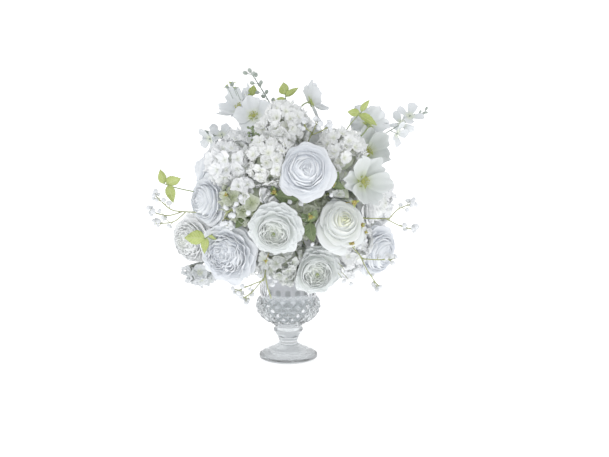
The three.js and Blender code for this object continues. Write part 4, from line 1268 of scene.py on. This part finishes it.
@dataclass
class BabyBreath(Spray):
    """A forked spray of thread-like stalks with tiny ruffled flowers."""

    branches: Sequence[tuple[Triple, Triple]] = ()
    bare: Sequence[tuple[Triple, Triple]] = ()
    singles: Sequence[Triple] = ()
    flower: float = 4.5 * MM
    fork_step: float = 6 * MM  # how far below the last each branch leaves the stem
    root_depth: float = 26 * MM
    tip_flowers: int = 6
    side_flowers: int = 2

    def build(self) -> None:
        """Makes the stalks and the flowers."""
        twigs, flowers, draw, path = Maker(), Maker(), self.draw(), self.path()
        before, fork = path[-2:]
        twigs.tube(rounded(path, 5), 1.3 * MM, 1.0 * MM, sides=6)
        for k, (bend, tip) in enumerate((*self.branches, *self.bare)):
            bend, tip = Vector(bend) * MM, Vector(tip) * MM
            start = fork.lerp(before, 0.02 + k * self.fork_step / (fork - before).length)
            line = rounded([start, bend, tip], 6)
            twigs.tube(line, 1.05 * MM, 0.9 * MM, sides=6)
            if k < len(self.branches):
                onward = (tip - bend).normalized()
                self.add_tuft(twigs, flowers, line[-4], line[-1], onward, self.tip_flowers, draw)
                self.add_tuft(twigs, flowers, line[5], line[8], onward, self.side_flowers, draw)
        for spot in self.singles:
            at = Vector(spot) * MM
            root = at.lerp(HUB, self.root_depth / (at - HUB).length)
            twigs.tube(rounded([root, at.lerp(root, 0.4) + UP * 2 * MM, at], 4), 0.6 * MM, 0.4 * MM, sides=5)
            self.add_flower(flowers, at, (at - root).normalized(), draw)
        twigs.piece(self.name + "_twigs", TWIG_GREEN, [self.name])
        flowers.piece(self.name + "_flowers", TINY_WHITE, [self.name])

    def add_tuft(self, twigs: Maker, flowers: Maker, low: Vector, high: Vector, onward: Vector, count: int,
                 draw: random.Random) -> None:
        """Adds a few flowers on short stalks.

        Args:
            twigs: The mesh of stalks.
            flowers: The mesh of flowers.
            low: Where the lowest stalk leaves the branch.
            high: Where the highest one does.
            onward: The way the branch runs.
            count: How many flowers there are.
            draw: The source of their small differences.
        """
        for i in range(count):
            root = low.lerp(high, (i + 0.5) / count)
            aside = scatter(draw, 1)
            aside = (aside - onward * aside.dot(onward)).normalized()
            way = (onward * draw.uniform(0.5, 1.0) + aside * draw.uniform(0.5, 0.9)).normalized()
            tip = root + way * draw.uniform(6, 9) * MM
            twigs.tube([root, root.lerp(tip, 0.5) + onward * 0.4 * MM, tip], 0.6 * MM, 0.5 * MM, sides=5)
            self.add_flower(flowers, tip, way, draw)

    def add_flower(self, flowers: Maker, at: Vector, way: Vector, draw: random.Random) -> None:
        """Adds one tiny flower, a crumpled ball of petals.

        Args:
            flowers: The mesh it goes into.
            at: The top of its stalk.
            way: The way it faces.
            draw: The source of its small differences.
        """
        size = self.flower * draw.uniform(0.75, 1.1)
        place = placement(at + way * size * 0.6, way, draw.uniform(0, 3))
        shape = place @ Matrix.Diagonal((size, size, size * 0.8, 1))
        made = bmesh.ops.create_icosphere(flowers.mesh, subdivisions=2, radius=1, matrix=shape)
        for vertex in made["verts"]:
            out = vertex.co - shape.translation
            rough = draw.uniform(0.78, 1.16)
            vertex.co = shape.translation + out * rough
            # Painted shade: the flower is lighter where it bulges out and on its open face, darker in its
            # dips and towards its stalk.
            painted_lightness = 0.3 + rough * 0.5 + out.dot(way) / size * 0.3
            vertex[flowers.tint] = (min(max(painted_lightness, 0), 1), 0.7, 0.5, 1)


def add_bud(maker: Maker, root: Vector, way: Vector, stalk: float, radius: float, length: float) -> None:
    """Adds a bud on its stalk.

    Args:
        maker: The mesh it goes into.
        root: Where its stalk leaves the stem.
        way: The way it points.
        stalk: The stalk's length.
        radius: Half the bud's width.
        length: The bud's length.
    """
    top = root + way * stalk
    maker.tube([root, root.lerp(top, 0.5), top], 0.65 * MM, 0.5 * MM, sides=5)
    maker.cone(top - way * radius * 0.2, way, 0.5 * MM, radius * 0.8, length * 0.3, sides=8)
    maker.bead(top + way * length * 0.5, way, radius, length * 0.5, around=10, rings=8)


@dataclass
class BudSpray(Spray):
    """A stem with buds on short stalks to either side and one at its tip."""

    buds: int = 11
    bud: Range = (3.3, 8.5)
    stalk: float = 6.5
    finish: PlasticFinish = BUD_GREY

    def build(self) -> None:
        """Makes the spray."""
        maker, draw = Maker(), self.draw()
        maker.tube(rounded(self.path(), 6), STEM_RADIUS, 1.0 * MM, sides=7)
        start, along, aside = self.tip_run()
        way = along.normalized()
        radius, length = self.bud[0] * MM, self.bud[1] * MM
        for i in range(self.buds):
            root = start + along * ((i + 0.5) / self.buds)
            side = Quaternion(way, i * 0.9 + draw.uniform(-0.3, 0.3)) @ (aside * (1 if i % 2 else -1))
            onward = (side + way * 0.9).normalized()
            add_bud(maker, root, onward, self.stalk * MM * draw.uniform(0.8, 1.3), radius, length)
        add_bud(maker, self.path()[-1], way, 1 * MM, radius, length)
        maker.piece(self.name + "_buds", self.finish, [self.name])


@dataclass
class SeedHeads(Spray):
    """Small seed heads or buds on short stalks, here and there among the blooms."""

    heads: Sequence[tuple[Triple, float]] = ()
    finish: PlasticFinish = BUD_GOLD
    label: str = "seed_heads"
    root_depth: float = 22 * MM
    grains: int = 4
    bracts: int = 3
    bract: OpenPetal = OpenPetal(width=0.3, rise=0.5, sag=-0.1, tip=0.6, cup=0.3)

    def build(self) -> None:
        """Makes the seed heads, each of four grains, with three narrow bracts under each."""
        maker, bracts, draw = Maker(), Maker(), self.draw()
        for spot, width in self.heads:
            at = Vector(spot) * MM
            way = ((at - HUB).normalized() + scatter(draw, 0.5)).normalized()
            root = at.lerp(HUB, self.root_depth / (at - HUB).length)
            maker.tube(rounded([root, root.lerp(at, 0.5) + UP * MM, at], 4), 0.7 * MM, 0.5 * MM, sides=5)
            for i in range(self.grains):
                aside = Quaternion(way, i * 1.57) @ way.orthogonal().normalized()
                maker.bead(at + aside * width * 0.3 * MM + way * i * 0.4 * MM, way, width * 0.36 * MM,
                           width * 0.5 * MM, around=7, rings=6)
            under = placement(at - way * 0.4 * MM, way, draw.uniform(0, 3))
            under = under @ Matrix.Scale(width * 1.2 * MM, 4)
            for i in range(self.bracts):
                bracts.blade(self.bract.surface(i * 2.1, draw), under, 4, 5, draw.random())
        maker.piece(self.label, self.finish, [self.name])
        bracts.piece(self.label + "_bracts", LIME_LEAF, [self.name], BRACT_WALL)


@dataclass(frozen=True)
class Leaf:
    """One leaf: its direction, length and width in millimetres, and its roll."""

    way: Triple
    length: float
    width: float
    roll: float
    teeth: int = 9

    def surface(self) -> Surface:
        """The leaf's surface, toothed along its edge, folded at its rib and arched.

        Returns:
            The surface.
        """

        def shape(u: float, v: float) -> Vector:
            """The leaf's point.

            Args:
                u: From -1 to 1 across.
                v: From 0 to 1 along.

            Returns:
                The point.
            """
            swell = math.sin(math.pi * min(v, 0.985) ** 0.8)
            tooth = 1 + 0.1 * (abs(u) ** 3) * ((v * self.teeth) % 1 - 0.5)
            half = (0.04 + swell) * 0.48 * self.width * tooth
            quilt = 0.012 * self.length * math.sin(v * self.teeth * math.pi * 1.2 - abs(u) * 2.4) * abs(u)
            drop = -0.18 * self.length * v * v + abs(u) * half * 0.32 + quilt
            return Vector((u * half, drop, v * self.length - abs(u) * swell * 0.03 * self.length)) * MM

        return shape


@dataclass
class LeafSpray(Spray):
    """A stem with a few leaves at its tip."""

    finish: LeafFinish = LIME_LEAF
    leaves: Sequence[Leaf] = ()
    label: str = ""
    apart: float = 3.5 * MM

    def build(self) -> None:
        """Makes the stem and the leaves."""
        blades, stalk, draw, path = Maker(), Maker(), self.draw(), self.path()
        stalk.tube(rounded(path, 6), STEM_RADIUS, 0.8 * MM, sides=7)
        back, tip = path[-2:]
        for i, leaf in enumerate(self.leaves):
            at, way = tip.lerp(back, self.apart * i / (tip - back).length), Vector(leaf.way)
            onward = way.normalized()
            blades.blade(leaf.surface(), placement(at, way, leaf.roll), 8, 27, draw.random())
            stalk.tube([at - onward * MM, at + onward * 5 * MM], 0.8 * MM, 0.4 * MM, sides=5)
        label = self.label or self.name
        blades.piece(label + "_leaves", self.finish, [self.name], PETAL_WALL)
        stalk.piece(label + "_stalk", STEM_GREEN, [self.name])


@dataclass
class FlowerSpike(Spray):
    """A spike of small open flowers up a stem, with closed buds at its tip."""

    florets: int = 4
    size: float = 25
    buds: int = 7
    petal: OpenPetal = OpenPetal(width=0.36, rise=0.3, sag=0.1, cup=0.2, ruffle=0.08, tip=0.25, swell=0.62)

    def build(self) -> None:
        """Makes the flowers, the stem and the buds."""
        maker, green, draw = Maker(), Maker(), self.draw()
        green.tube(rounded(self.path(), 6), STEM_RADIUS, 0.8 * MM, sides=7)
        start, along, aside = self.tip_run()
        way, tip, size = along.normalized(), self.path()[-1], self.size * MM
        for i in range(self.florets):
            outward = (Quaternion(way, i * 2.4) @ aside + way * 0.6).normalized()
            foot = start + along * (i / self.florets) * 0.8
            at = foot + outward * size * 0.55
            green.tube([foot, foot.lerp(at, 0.5), at], 0.8 * MM, 0.9 * MM, sides=5)
            place = placement(at, outward, i) @ Matrix.Scale(size, 4)
            for k in range(4):
                surface = self.petal.surface(math.pi * k / 2, draw, draw.uniform(0.88, 1.08))
                maker.blade(surface, place, 5, 7, draw.random())
            green.bead(at + outward * 0.8 * MM, outward, 1.6 * MM, 1.4 * MM, around=7, rings=5)
        for i in range(self.buds):
            outward = (Quaternion(way, i * 2.1) @ aside + way * 1.5).normalized()
            add_bud(green, tip - way * 4 * i * MM, outward, 2.5 * MM, 2.3 * MM * (1 - 0.04 * i), 7.5 * MM)
        maker.piece(self.name + "_flowers", SHADED_SHEER_WHITE, [self.name], SHEER_WALL, rounds=1)
        green.piece(self.name + "_stem", BUD_GREY, [self.name])


# The sprays: name, stem in millimetres and what each carries.
SPRAYS = (
    BudSpray("buds_top", ((-14, 8, 380), (-27, 10, 432), (-61, 0, 490))),
    BudSpray("buds_middle", ((-47, -70, 350), (-50, -96, 384), (-56, -112, 404)), bud=(2.2, 5.5), stalk=6,
             finish=BUD_DARK),
    FlowerSpike("flower_spike_right", ((118, 14, 346), (160, 16, 384), (232, 18, 424))),
    FlowerSpike("flower_spike_left", ((-70, 6, 352), (-102, 6, 374), (-138, 4, 390)), size=23, buds=5),
    BabyBreath("baby_breath_top", ((32, -66, 374), (40, -84, 398)),
               (((34, -94, 402), (27, -98, 410)), ((54, -92, 400), (66, -96, 408)),
                ((43, -96, 402), (46, -104, 413)))),
    BabyBreath("baby_breath_left", ((-126, -52, 262), (-178, -84, 268)),
               (((-192, -94, 274), (-216, -92, 296)), ((-196, -90, 262), (-222, -88, 268)),
                ((-186, -90, 252), (-214, -84, 248)))),
    BabyBreath("baby_breath_right", ((120, -60, 254), (168, -84, 256)),
               (((182, -84, 272), (204, -80, 280)), ((184, -80, 244), (208, -74, 236)))),
    BabyBreath("baby_breath_low_right", ((88, -84, 226), (124, -104, 192)),
               (((146, -108, 192), (172, -96, 190)), ((132, -108, 172), (148, -100, 148))),
               (), ((91, -100, 156), (103, -100, 152), (94, -102, 172), (126, -104, 224), (116, -106, 214))),
    BabyBreath("baby_breath_low_left", ((-30, -84, 200), (-38, -122, 160)),
               (((-58, -126, 154), (-82, -124, 143)), ((-54, -124, 145), (-69, -118, 131))),
               (((-32, -124, 150), (-26, -124, 131)),),
               ((-20, -114, 160), (-44, -114, 168), (-29, -114, 166), (-24, -116, 154))),
    BabyBreath("baby_breath_centre", ((-84, -70, 252), (-102, -112, 262)),
               (((-98, -126, 270), (-90, -136, 278)), ((-104, -124, 258), (-98, -136, 254))),
               (), ((-79, -146, 289), (-97, -130, 282), (-84, -142, 270), (4, -132, 290), (22, -128, 287),
                (-72, -150, 300), (-60, -154, 276), (70, -124, 300), (60, -122, 226), (40, -128, 222))),
    LeafSpray("leaves_left", ((-112, -34, 286), (-176, -60, 302), (-202, -72, 312)), leaves=(
        Leaf((-0.3, -0.2, 1), 27, 15, 0.4), Leaf((0.9, -0.3, 0.5), 30, 20, 0.2),
        Leaf((0.3, -0.2, -1), 30, 17, 1.8))),
    LeafSpray("leaves_low_left", ((-96, -62, 240), (-134, -106, 227)), leaves=(
        Leaf((-1, -0.3, 0.12), 35, 25, 0.2), Leaf((-0.2, -0.3, -1), 26, 15, -0.8),
        Leaf((1, -0.3, -0.1), 16, 9, 0.3))),
    LeafSpray("leaves_top", ((2, -12, 392), (-4, -16, 455)), leaves=(
        Leaf((-0.2, -0.3, 1), 23, 19, 0.4), Leaf((1, -0.2, 0.8), 28, 11, 0.2),
        Leaf((-1, -0.3, -0.2), 25, 10, 0.2))),
    LeafSpray("leaves_right", ((74, -26, 352), (100, -40, 402), (122, -44, 428)), leaves=(
        Leaf((0.5, -0.3, 1), 26, 12, 0.4), Leaf((-1, -0.4, 0.2), 25, 14, 0.2),
        Leaf((1, -0.3, -0.4), 36, 18, 0.2))),
    LeafSpray("leaves_inner_upper", ((-6, -84, 292), (-20, -128, 300)), DARK_LEAF, (
        Leaf((1, -0.1, -0.05), 42, 24, 0.2), Leaf((-0.3, -0.3, 1), 20, 14, 0.2),
        Leaf((0.8, -0.2, -0.6), 24, 14, 0.3))),
    LeafSpray("leaves_inner_right", ((62, -76, 304), (68, -112, 316)), DARK_LEAF, (
        Leaf((0.5, -0.2, 0.8), 28, 20, 0.2), Leaf((1, -0.2, -0.1), 28, 20, 0.3),
        Leaf((-0.2, -0.3, 0.9), 22, 14, 0.3))),
    LeafSpray("leaves_inner_middle", ((30, -82, 252), (37, -126, 256)), DARK_LEAF, (
        Leaf((0.3, -0.3, 0.8), 28, 18, 0.2), Leaf((0.1, -0.3, -0.9), 32, 24, 1.2),
        Leaf((-0.6, -0.2, 0.7), 22, 13, 0.2))),
    LeafSpray("baby_breath_centre", ((-84, -70, 252), (-70, -124, 264)), DARK_LEAF, (
        Leaf((0.7, -0.3, -0.5), 24, 14, 0.2), Leaf((-0.5, -0.3, -0.7), 22, 13, 1.2)), label="centre_left"),
    LeafSpray("blossom_top_left", ((-52, -4, 384), (-60, -2, 452)), leaves=(
        Leaf((0.15, -0.3, 1), 21, 15, 0.2), Leaf((-0.9, -0.3, 0.5), 16, 8, 0.2)), label="top_left"),
    LeafSpray("leaves_back", ((-42, 96, 300), (-58, 148, 316)), leaves=(
        Leaf((-0.6, 0.6, 0.8), 38, 22, 0.2), Leaf((0.3, 0.9, 0.7), 34, 18, 0.3))),
)
SEED_HEADS = (
    SeedHeads("baby_breath_low_right", (), (
        ((103, -124, 224), 9), ((122, -110, 250), 6), ((112, -112, 240), 4), ((38, -134, 266), 6),
        ((28, -136, 292), 4.5), ((108, -120, 288), 7), ((-97, -134, 302), 4.5), ((-34, -140, 196), 4),
        ((74, -122, 316), 5), ((-20, -132, 306), 6), ((128, -98, 236), 4))),
    SeedHeads("blossom_top_left", (), (
        ((-95, 14, 471), 7), ((-103, 16, 466), 5.5), ((-89, 10, 464), 4.5)), BUD_GREY, "bud_pair"),
)


# Vase

@dataclass
class Vase:
    """The footed vase of pressed glass, whose bowl is covered in raised diamonds. Lengths in mm."""

    outside: Sequence[Range] = (
        (0, 0), (46, 0), (50, 2.6), (50.7, 6), (49.4, 9), (45.4, 10.8), (44.2, 12.6), (42, 12.9),
        (35.5, 15.6), (34, 17.4), (31.6, 17.6), (26.5, 20.4), (21.5, 23.6), (19.6, 24), (16.5, 28.6),
        (16.6, 33), (18.6, 37.4), (18.4, 38.8), (22, 43.5), (25.5, 49.5), (25.2, 53), (23.5, 57), (29.5, 63),
        (37, 68.5),
        (43.5, 74), (48.5, 80.5), (51.6, 87.5), (52.2, 95), (50.6, 102.5), (47.5, 109), (48, 122), (50, 140),
        (53.5, 160))
    inside: Sequence[Range] = (
        (50, 160), (46, 140), (44.2, 122), (43.8, 110), (46, 98), (43, 84), (32, 71), (17, 62), (0, 61))
    diamonds: int = 18
    row: float = 15.5
    relief: float = 4.0
    steps_each: int = 16
    patterned: Range = (58, 136)
    foot_of_bowl: float = 60
    top_of_bowl: Range = (106, 112)
    arch_middle: float = 121.5
    arch_reach: Range = (0.38, 8.5)  # half its width in diamonds, and half its height
    rim_height: float = 1.3
    dish_depth: float = 1.1

    def build(self) -> None:
        """Makes the vase."""
        maker = Maker()
        base, *foot_to_rim = self.outside
        line = [*outline([base], 1), *outline(foot_to_rim, 5), *outline(self.inside, 4)]
        maker.turned(line, self.diamonds * self.steps_each)
        for vertex in maker.mesh.verts:
            self.raise_relief(vertex, maker.tint)
        maker.piece("vase_glass", GlassFinish("pressed_glass", "vase_glass"), ["vase"])

    def raise_relief(self, vertex: bmesh.types.BMVert, tint: bmesh.types.BMLayerItem) -> None:
        """Pushes a point of the outside out by the pattern, and notes how grey the glass is painted there:
        painted shade in the hollows and the arches' dishes, painted highlight on the ridges and rims, painted
        light up the neck.

        Args:
            vertex: The point.
            tint: The layer that holds the painted greyness.
        """
        out, up = math.hypot(vertex.co.x, vertex.co.y) / MM, vertex.co.z / MM
        above_bowl = smooth(*self.top_of_bowl, up)
        # Darker at the foot and lighter above the bowl; the lighter neck is painted light that offsets the
        # shade on the foam seen through it.
        plain = 0.4 + 0.1 * smooth(20, 50, up) + 0.3 * above_bowl + 0.1 * smooth(128, 136, up)
        vertex[tint] = (plain, 0.5, 0.5, 1)
        if not self.patterned[0] < up < self.patterned[1] or out < self.wall_at(up):
            return
        turn = math.atan2(vertex.co.y, vertex.co.x) * self.diamonds / FULL_TURN
        rows = (up - self.foot_of_bowl) / self.row
        ridge = smooth(0.06, 0.8, min(self.tooth(turn + rows), self.tooth(turn - rows)))
        bowl = smooth(self.foot_of_bowl, self.foot_of_bowl + 6, up) * (1 - above_bowl)
        wide, tall = self.arch_reach
        from_middle = math.hypot((turn % 1 - 0.5) / wide, (up - self.arch_middle) / tall)
        arch = smooth(110, 114, up)
        rim = math.exp(-((from_middle - 1) / 0.22) ** 2) * arch
        dish = (1 - smooth(0.6, 0.95, from_middle)) * arch
        push = self.relief * ridge * bowl + self.rim_height * rim - self.dish_depth * dish
        vertex.co.xy *= 1 + push / out
        # Painted shade in the hollows between the diamonds and in the dishes, painted highlight on the ridges
        # and the arch rims.
        shade = plain + bowl * (1.1 * ridge - 0.55) + 0.3 * rim - 0.7 * dish
        vertex[tint] = (min(max(shade, 0), 1), 0.5, 0.5, 1)

    @staticmethod
    def tooth(value: float) -> float:
        """A wave of straight slopes, 1 at whole numbers and 0 half way between them."""
        return 1 - 2 * abs((value + 0.5) % 1 - 0.5)

    @staticmethod
    def wall_at(up: float) -> float:
        """A radius in the middle of the wall, in millimetres, at a height between foot and rim."""
        return 22.0 if up < 64 else 35.0 if up < 74 else 46.3 if up > 84 else 42.0


@dataclass
class Foam:
    """The rigid foam ball, whose tapered plug stands in the vase's neck like a cork."""

    side: Sequence[Range] = (
        (0, 116), (38, 116), (42.5, 117.2), (43.7, 121), (45.6, 140), (49.4, 160), (50.5, 185), (53, 214),
        (58, 240), (59.6, 262), (57, 284), (47, 303), (30, 316), (14, 321), (0, 322))
    steps: int = 96
    pit_depth: float = 0.03

    def build(self) -> None:
        """Makes the ball with its pitted skin."""
        maker = Maker()
        maker.turned(outline(self.side, 5), self.steps)
        for vertex in maker.mesh.verts:
            pit = max(0.0, noise.noise(vertex.co * 260) - 0.15)
            vertex.co.xy *= 1 - self.pit_depth * pit
        maker.piece("foam", FoamFinish("foam_cells", "foam"), ["foam_ball"])


# Stage

@dataclass
class Stage:
    """The pale floor, the soft lights and the camera."""

    elevation: float = 9.0
    distance: float = 2.2
    aim: Triple = (0.028, -0.0102, 0.228)
    lens: float = 76.5
    sensor: float = 36
    light: float = 0.82
    light_colour: Colour = (0.965, 0.985, 1.0)
    backdrop: float = 1.05
    floor_size: float = 12
    floor_drop: float = 0.5 * MM
    floor_glow: float = 0.7
    gamma: float = 1.3

    def build(self) -> None:
        """Makes the floor, the lights and the camera."""
        self.build_floor()
        self.build_world()
        self.add_light("key", (-1.2, -1.6, 1.9), size=2.4, power=5)
        self.add_light("rim", (0.9, 1.5, 1.6), size=1.6, power=3)
        self.build_camera()

    def build_floor(self) -> None:
        """Makes a wide pale floor that glows a little, as paper on a lit table does."""
        mesh = bmesh.new()
        bmesh.ops.create_grid(mesh, x_segments=4, y_segments=4, size=self.floor_size)
        bmesh.ops.translate(mesh, vec=(0, 0, -self.floor_drop), verts=mesh.verts)
        data = bpy.data.meshes.new("floor")
        mesh.to_mesh(data)
        mesh.free()
        nodes = Nodes("floor_white")
        tone = nodes.noise(nodes.place(), 2)
        data.materials.append(nodes.dressed({
            "Base Color": nodes.ramp(tone, (0.3, (0.9, 0.9, 0.9)), (0.7, (0.92, 0.92, 0.92))),
            "Roughness": 0.9, "Emission Color": (1, 1, 1, 1), "Emission Strength": self.floor_glow}))
        floor = bpy.data.objects.new("floor", data)
        bpy.context.scene.collection.objects.link(floor)

    def build_world(self) -> None:
        """Makes the even light from all sides, in front of a white backdrop."""
        world = bpy.data.worlds.new("studio")
        bpy.context.scene.world = world
        world.use_nodes = True
        tree = world.node_tree
        light, backdrop, seen, mix = tree.nodes["Background"], *(
            tree.nodes.new("ShaderNode" + kind) for kind in ("Background", "LightPath", "MixShader"))
        for node, colour, strength in ((light, self.light_colour, self.light),
                                       (backdrop, (1, 1, 1), self.backdrop)):
            node.inputs["Color"].default_value = (*colour, 1)
            node.inputs["Strength"].default_value = strength
        for source, target in ((seen.outputs["Is Camera Ray"], mix.inputs["Fac"]),
                               (light.outputs["Background"], mix.inputs[1]),
                               (backdrop.outputs["Background"], mix.inputs[2]),
                               (mix.outputs["Shader"], tree.nodes["World Output"].inputs["Surface"])):
            tree.links.new(source, target)

    @staticmethod
    def aimed(name: str, data: bpy.types.ID, at: Vector, way: Vector) -> bpy.types.Object:
        """Stands a light or a camera at a point.

        Args:
            name: Its name.
            data: The light or the camera.
            at: The point.
            way: Where it looks.

        Returns:
            Its object.
        """
        made = bpy.data.objects.new(name, data)
        made.location = at
        made.rotation_euler = way.to_track_quat("-Z", "Y").to_euler()
        bpy.context.scene.collection.objects.link(made)
        return made

    def add_light(self, name: str, at: Triple, size: float, power: float) -> None:
        """Adds a soft light that shines at the flowers.

        Args:
            name: Its name.
            at: Where it stands.
            size: The side of its square.
            power: Its power in watts.
        """
        data = bpy.data.lights.new(name, "AREA")
        data.size = size
        data.energy = power
        self.aimed(name, data, Vector(at), BALL - Vector(at))

    def build_camera(self) -> None:
        """Makes the camera, slightly above the flowers and straight in front."""
        tilt = math.radians(self.elevation)
        back = Vector((0, -math.cos(tilt), math.sin(tilt)))
        data = bpy.data.cameras.new("camera")
        data.lens = self.lens
        data.sensor_width = self.sensor
        scene = bpy.context.scene
        scene.camera = self.aimed("camera", data, Vector(self.aim) + back * self.distance, -back)
        scene.view_settings.view_transform = "Standard"
        scene.view_settings.gamma = self.gamma


# The whole


def main() -> None:
    """Builds the stage, the vase, the blooms and the sprays in order."""
    logging.basicConfig(level=logging.INFO, format="%(name)s %(message)s")
    Stage().build()
    Vase().build()
    Foam().build()
    for bloom in all_blooms():
        bloom.build()
    for spray in (*SPRAYS, *SEED_HEADS):
        spray.build()


if __name__ == "__main__":
    main()
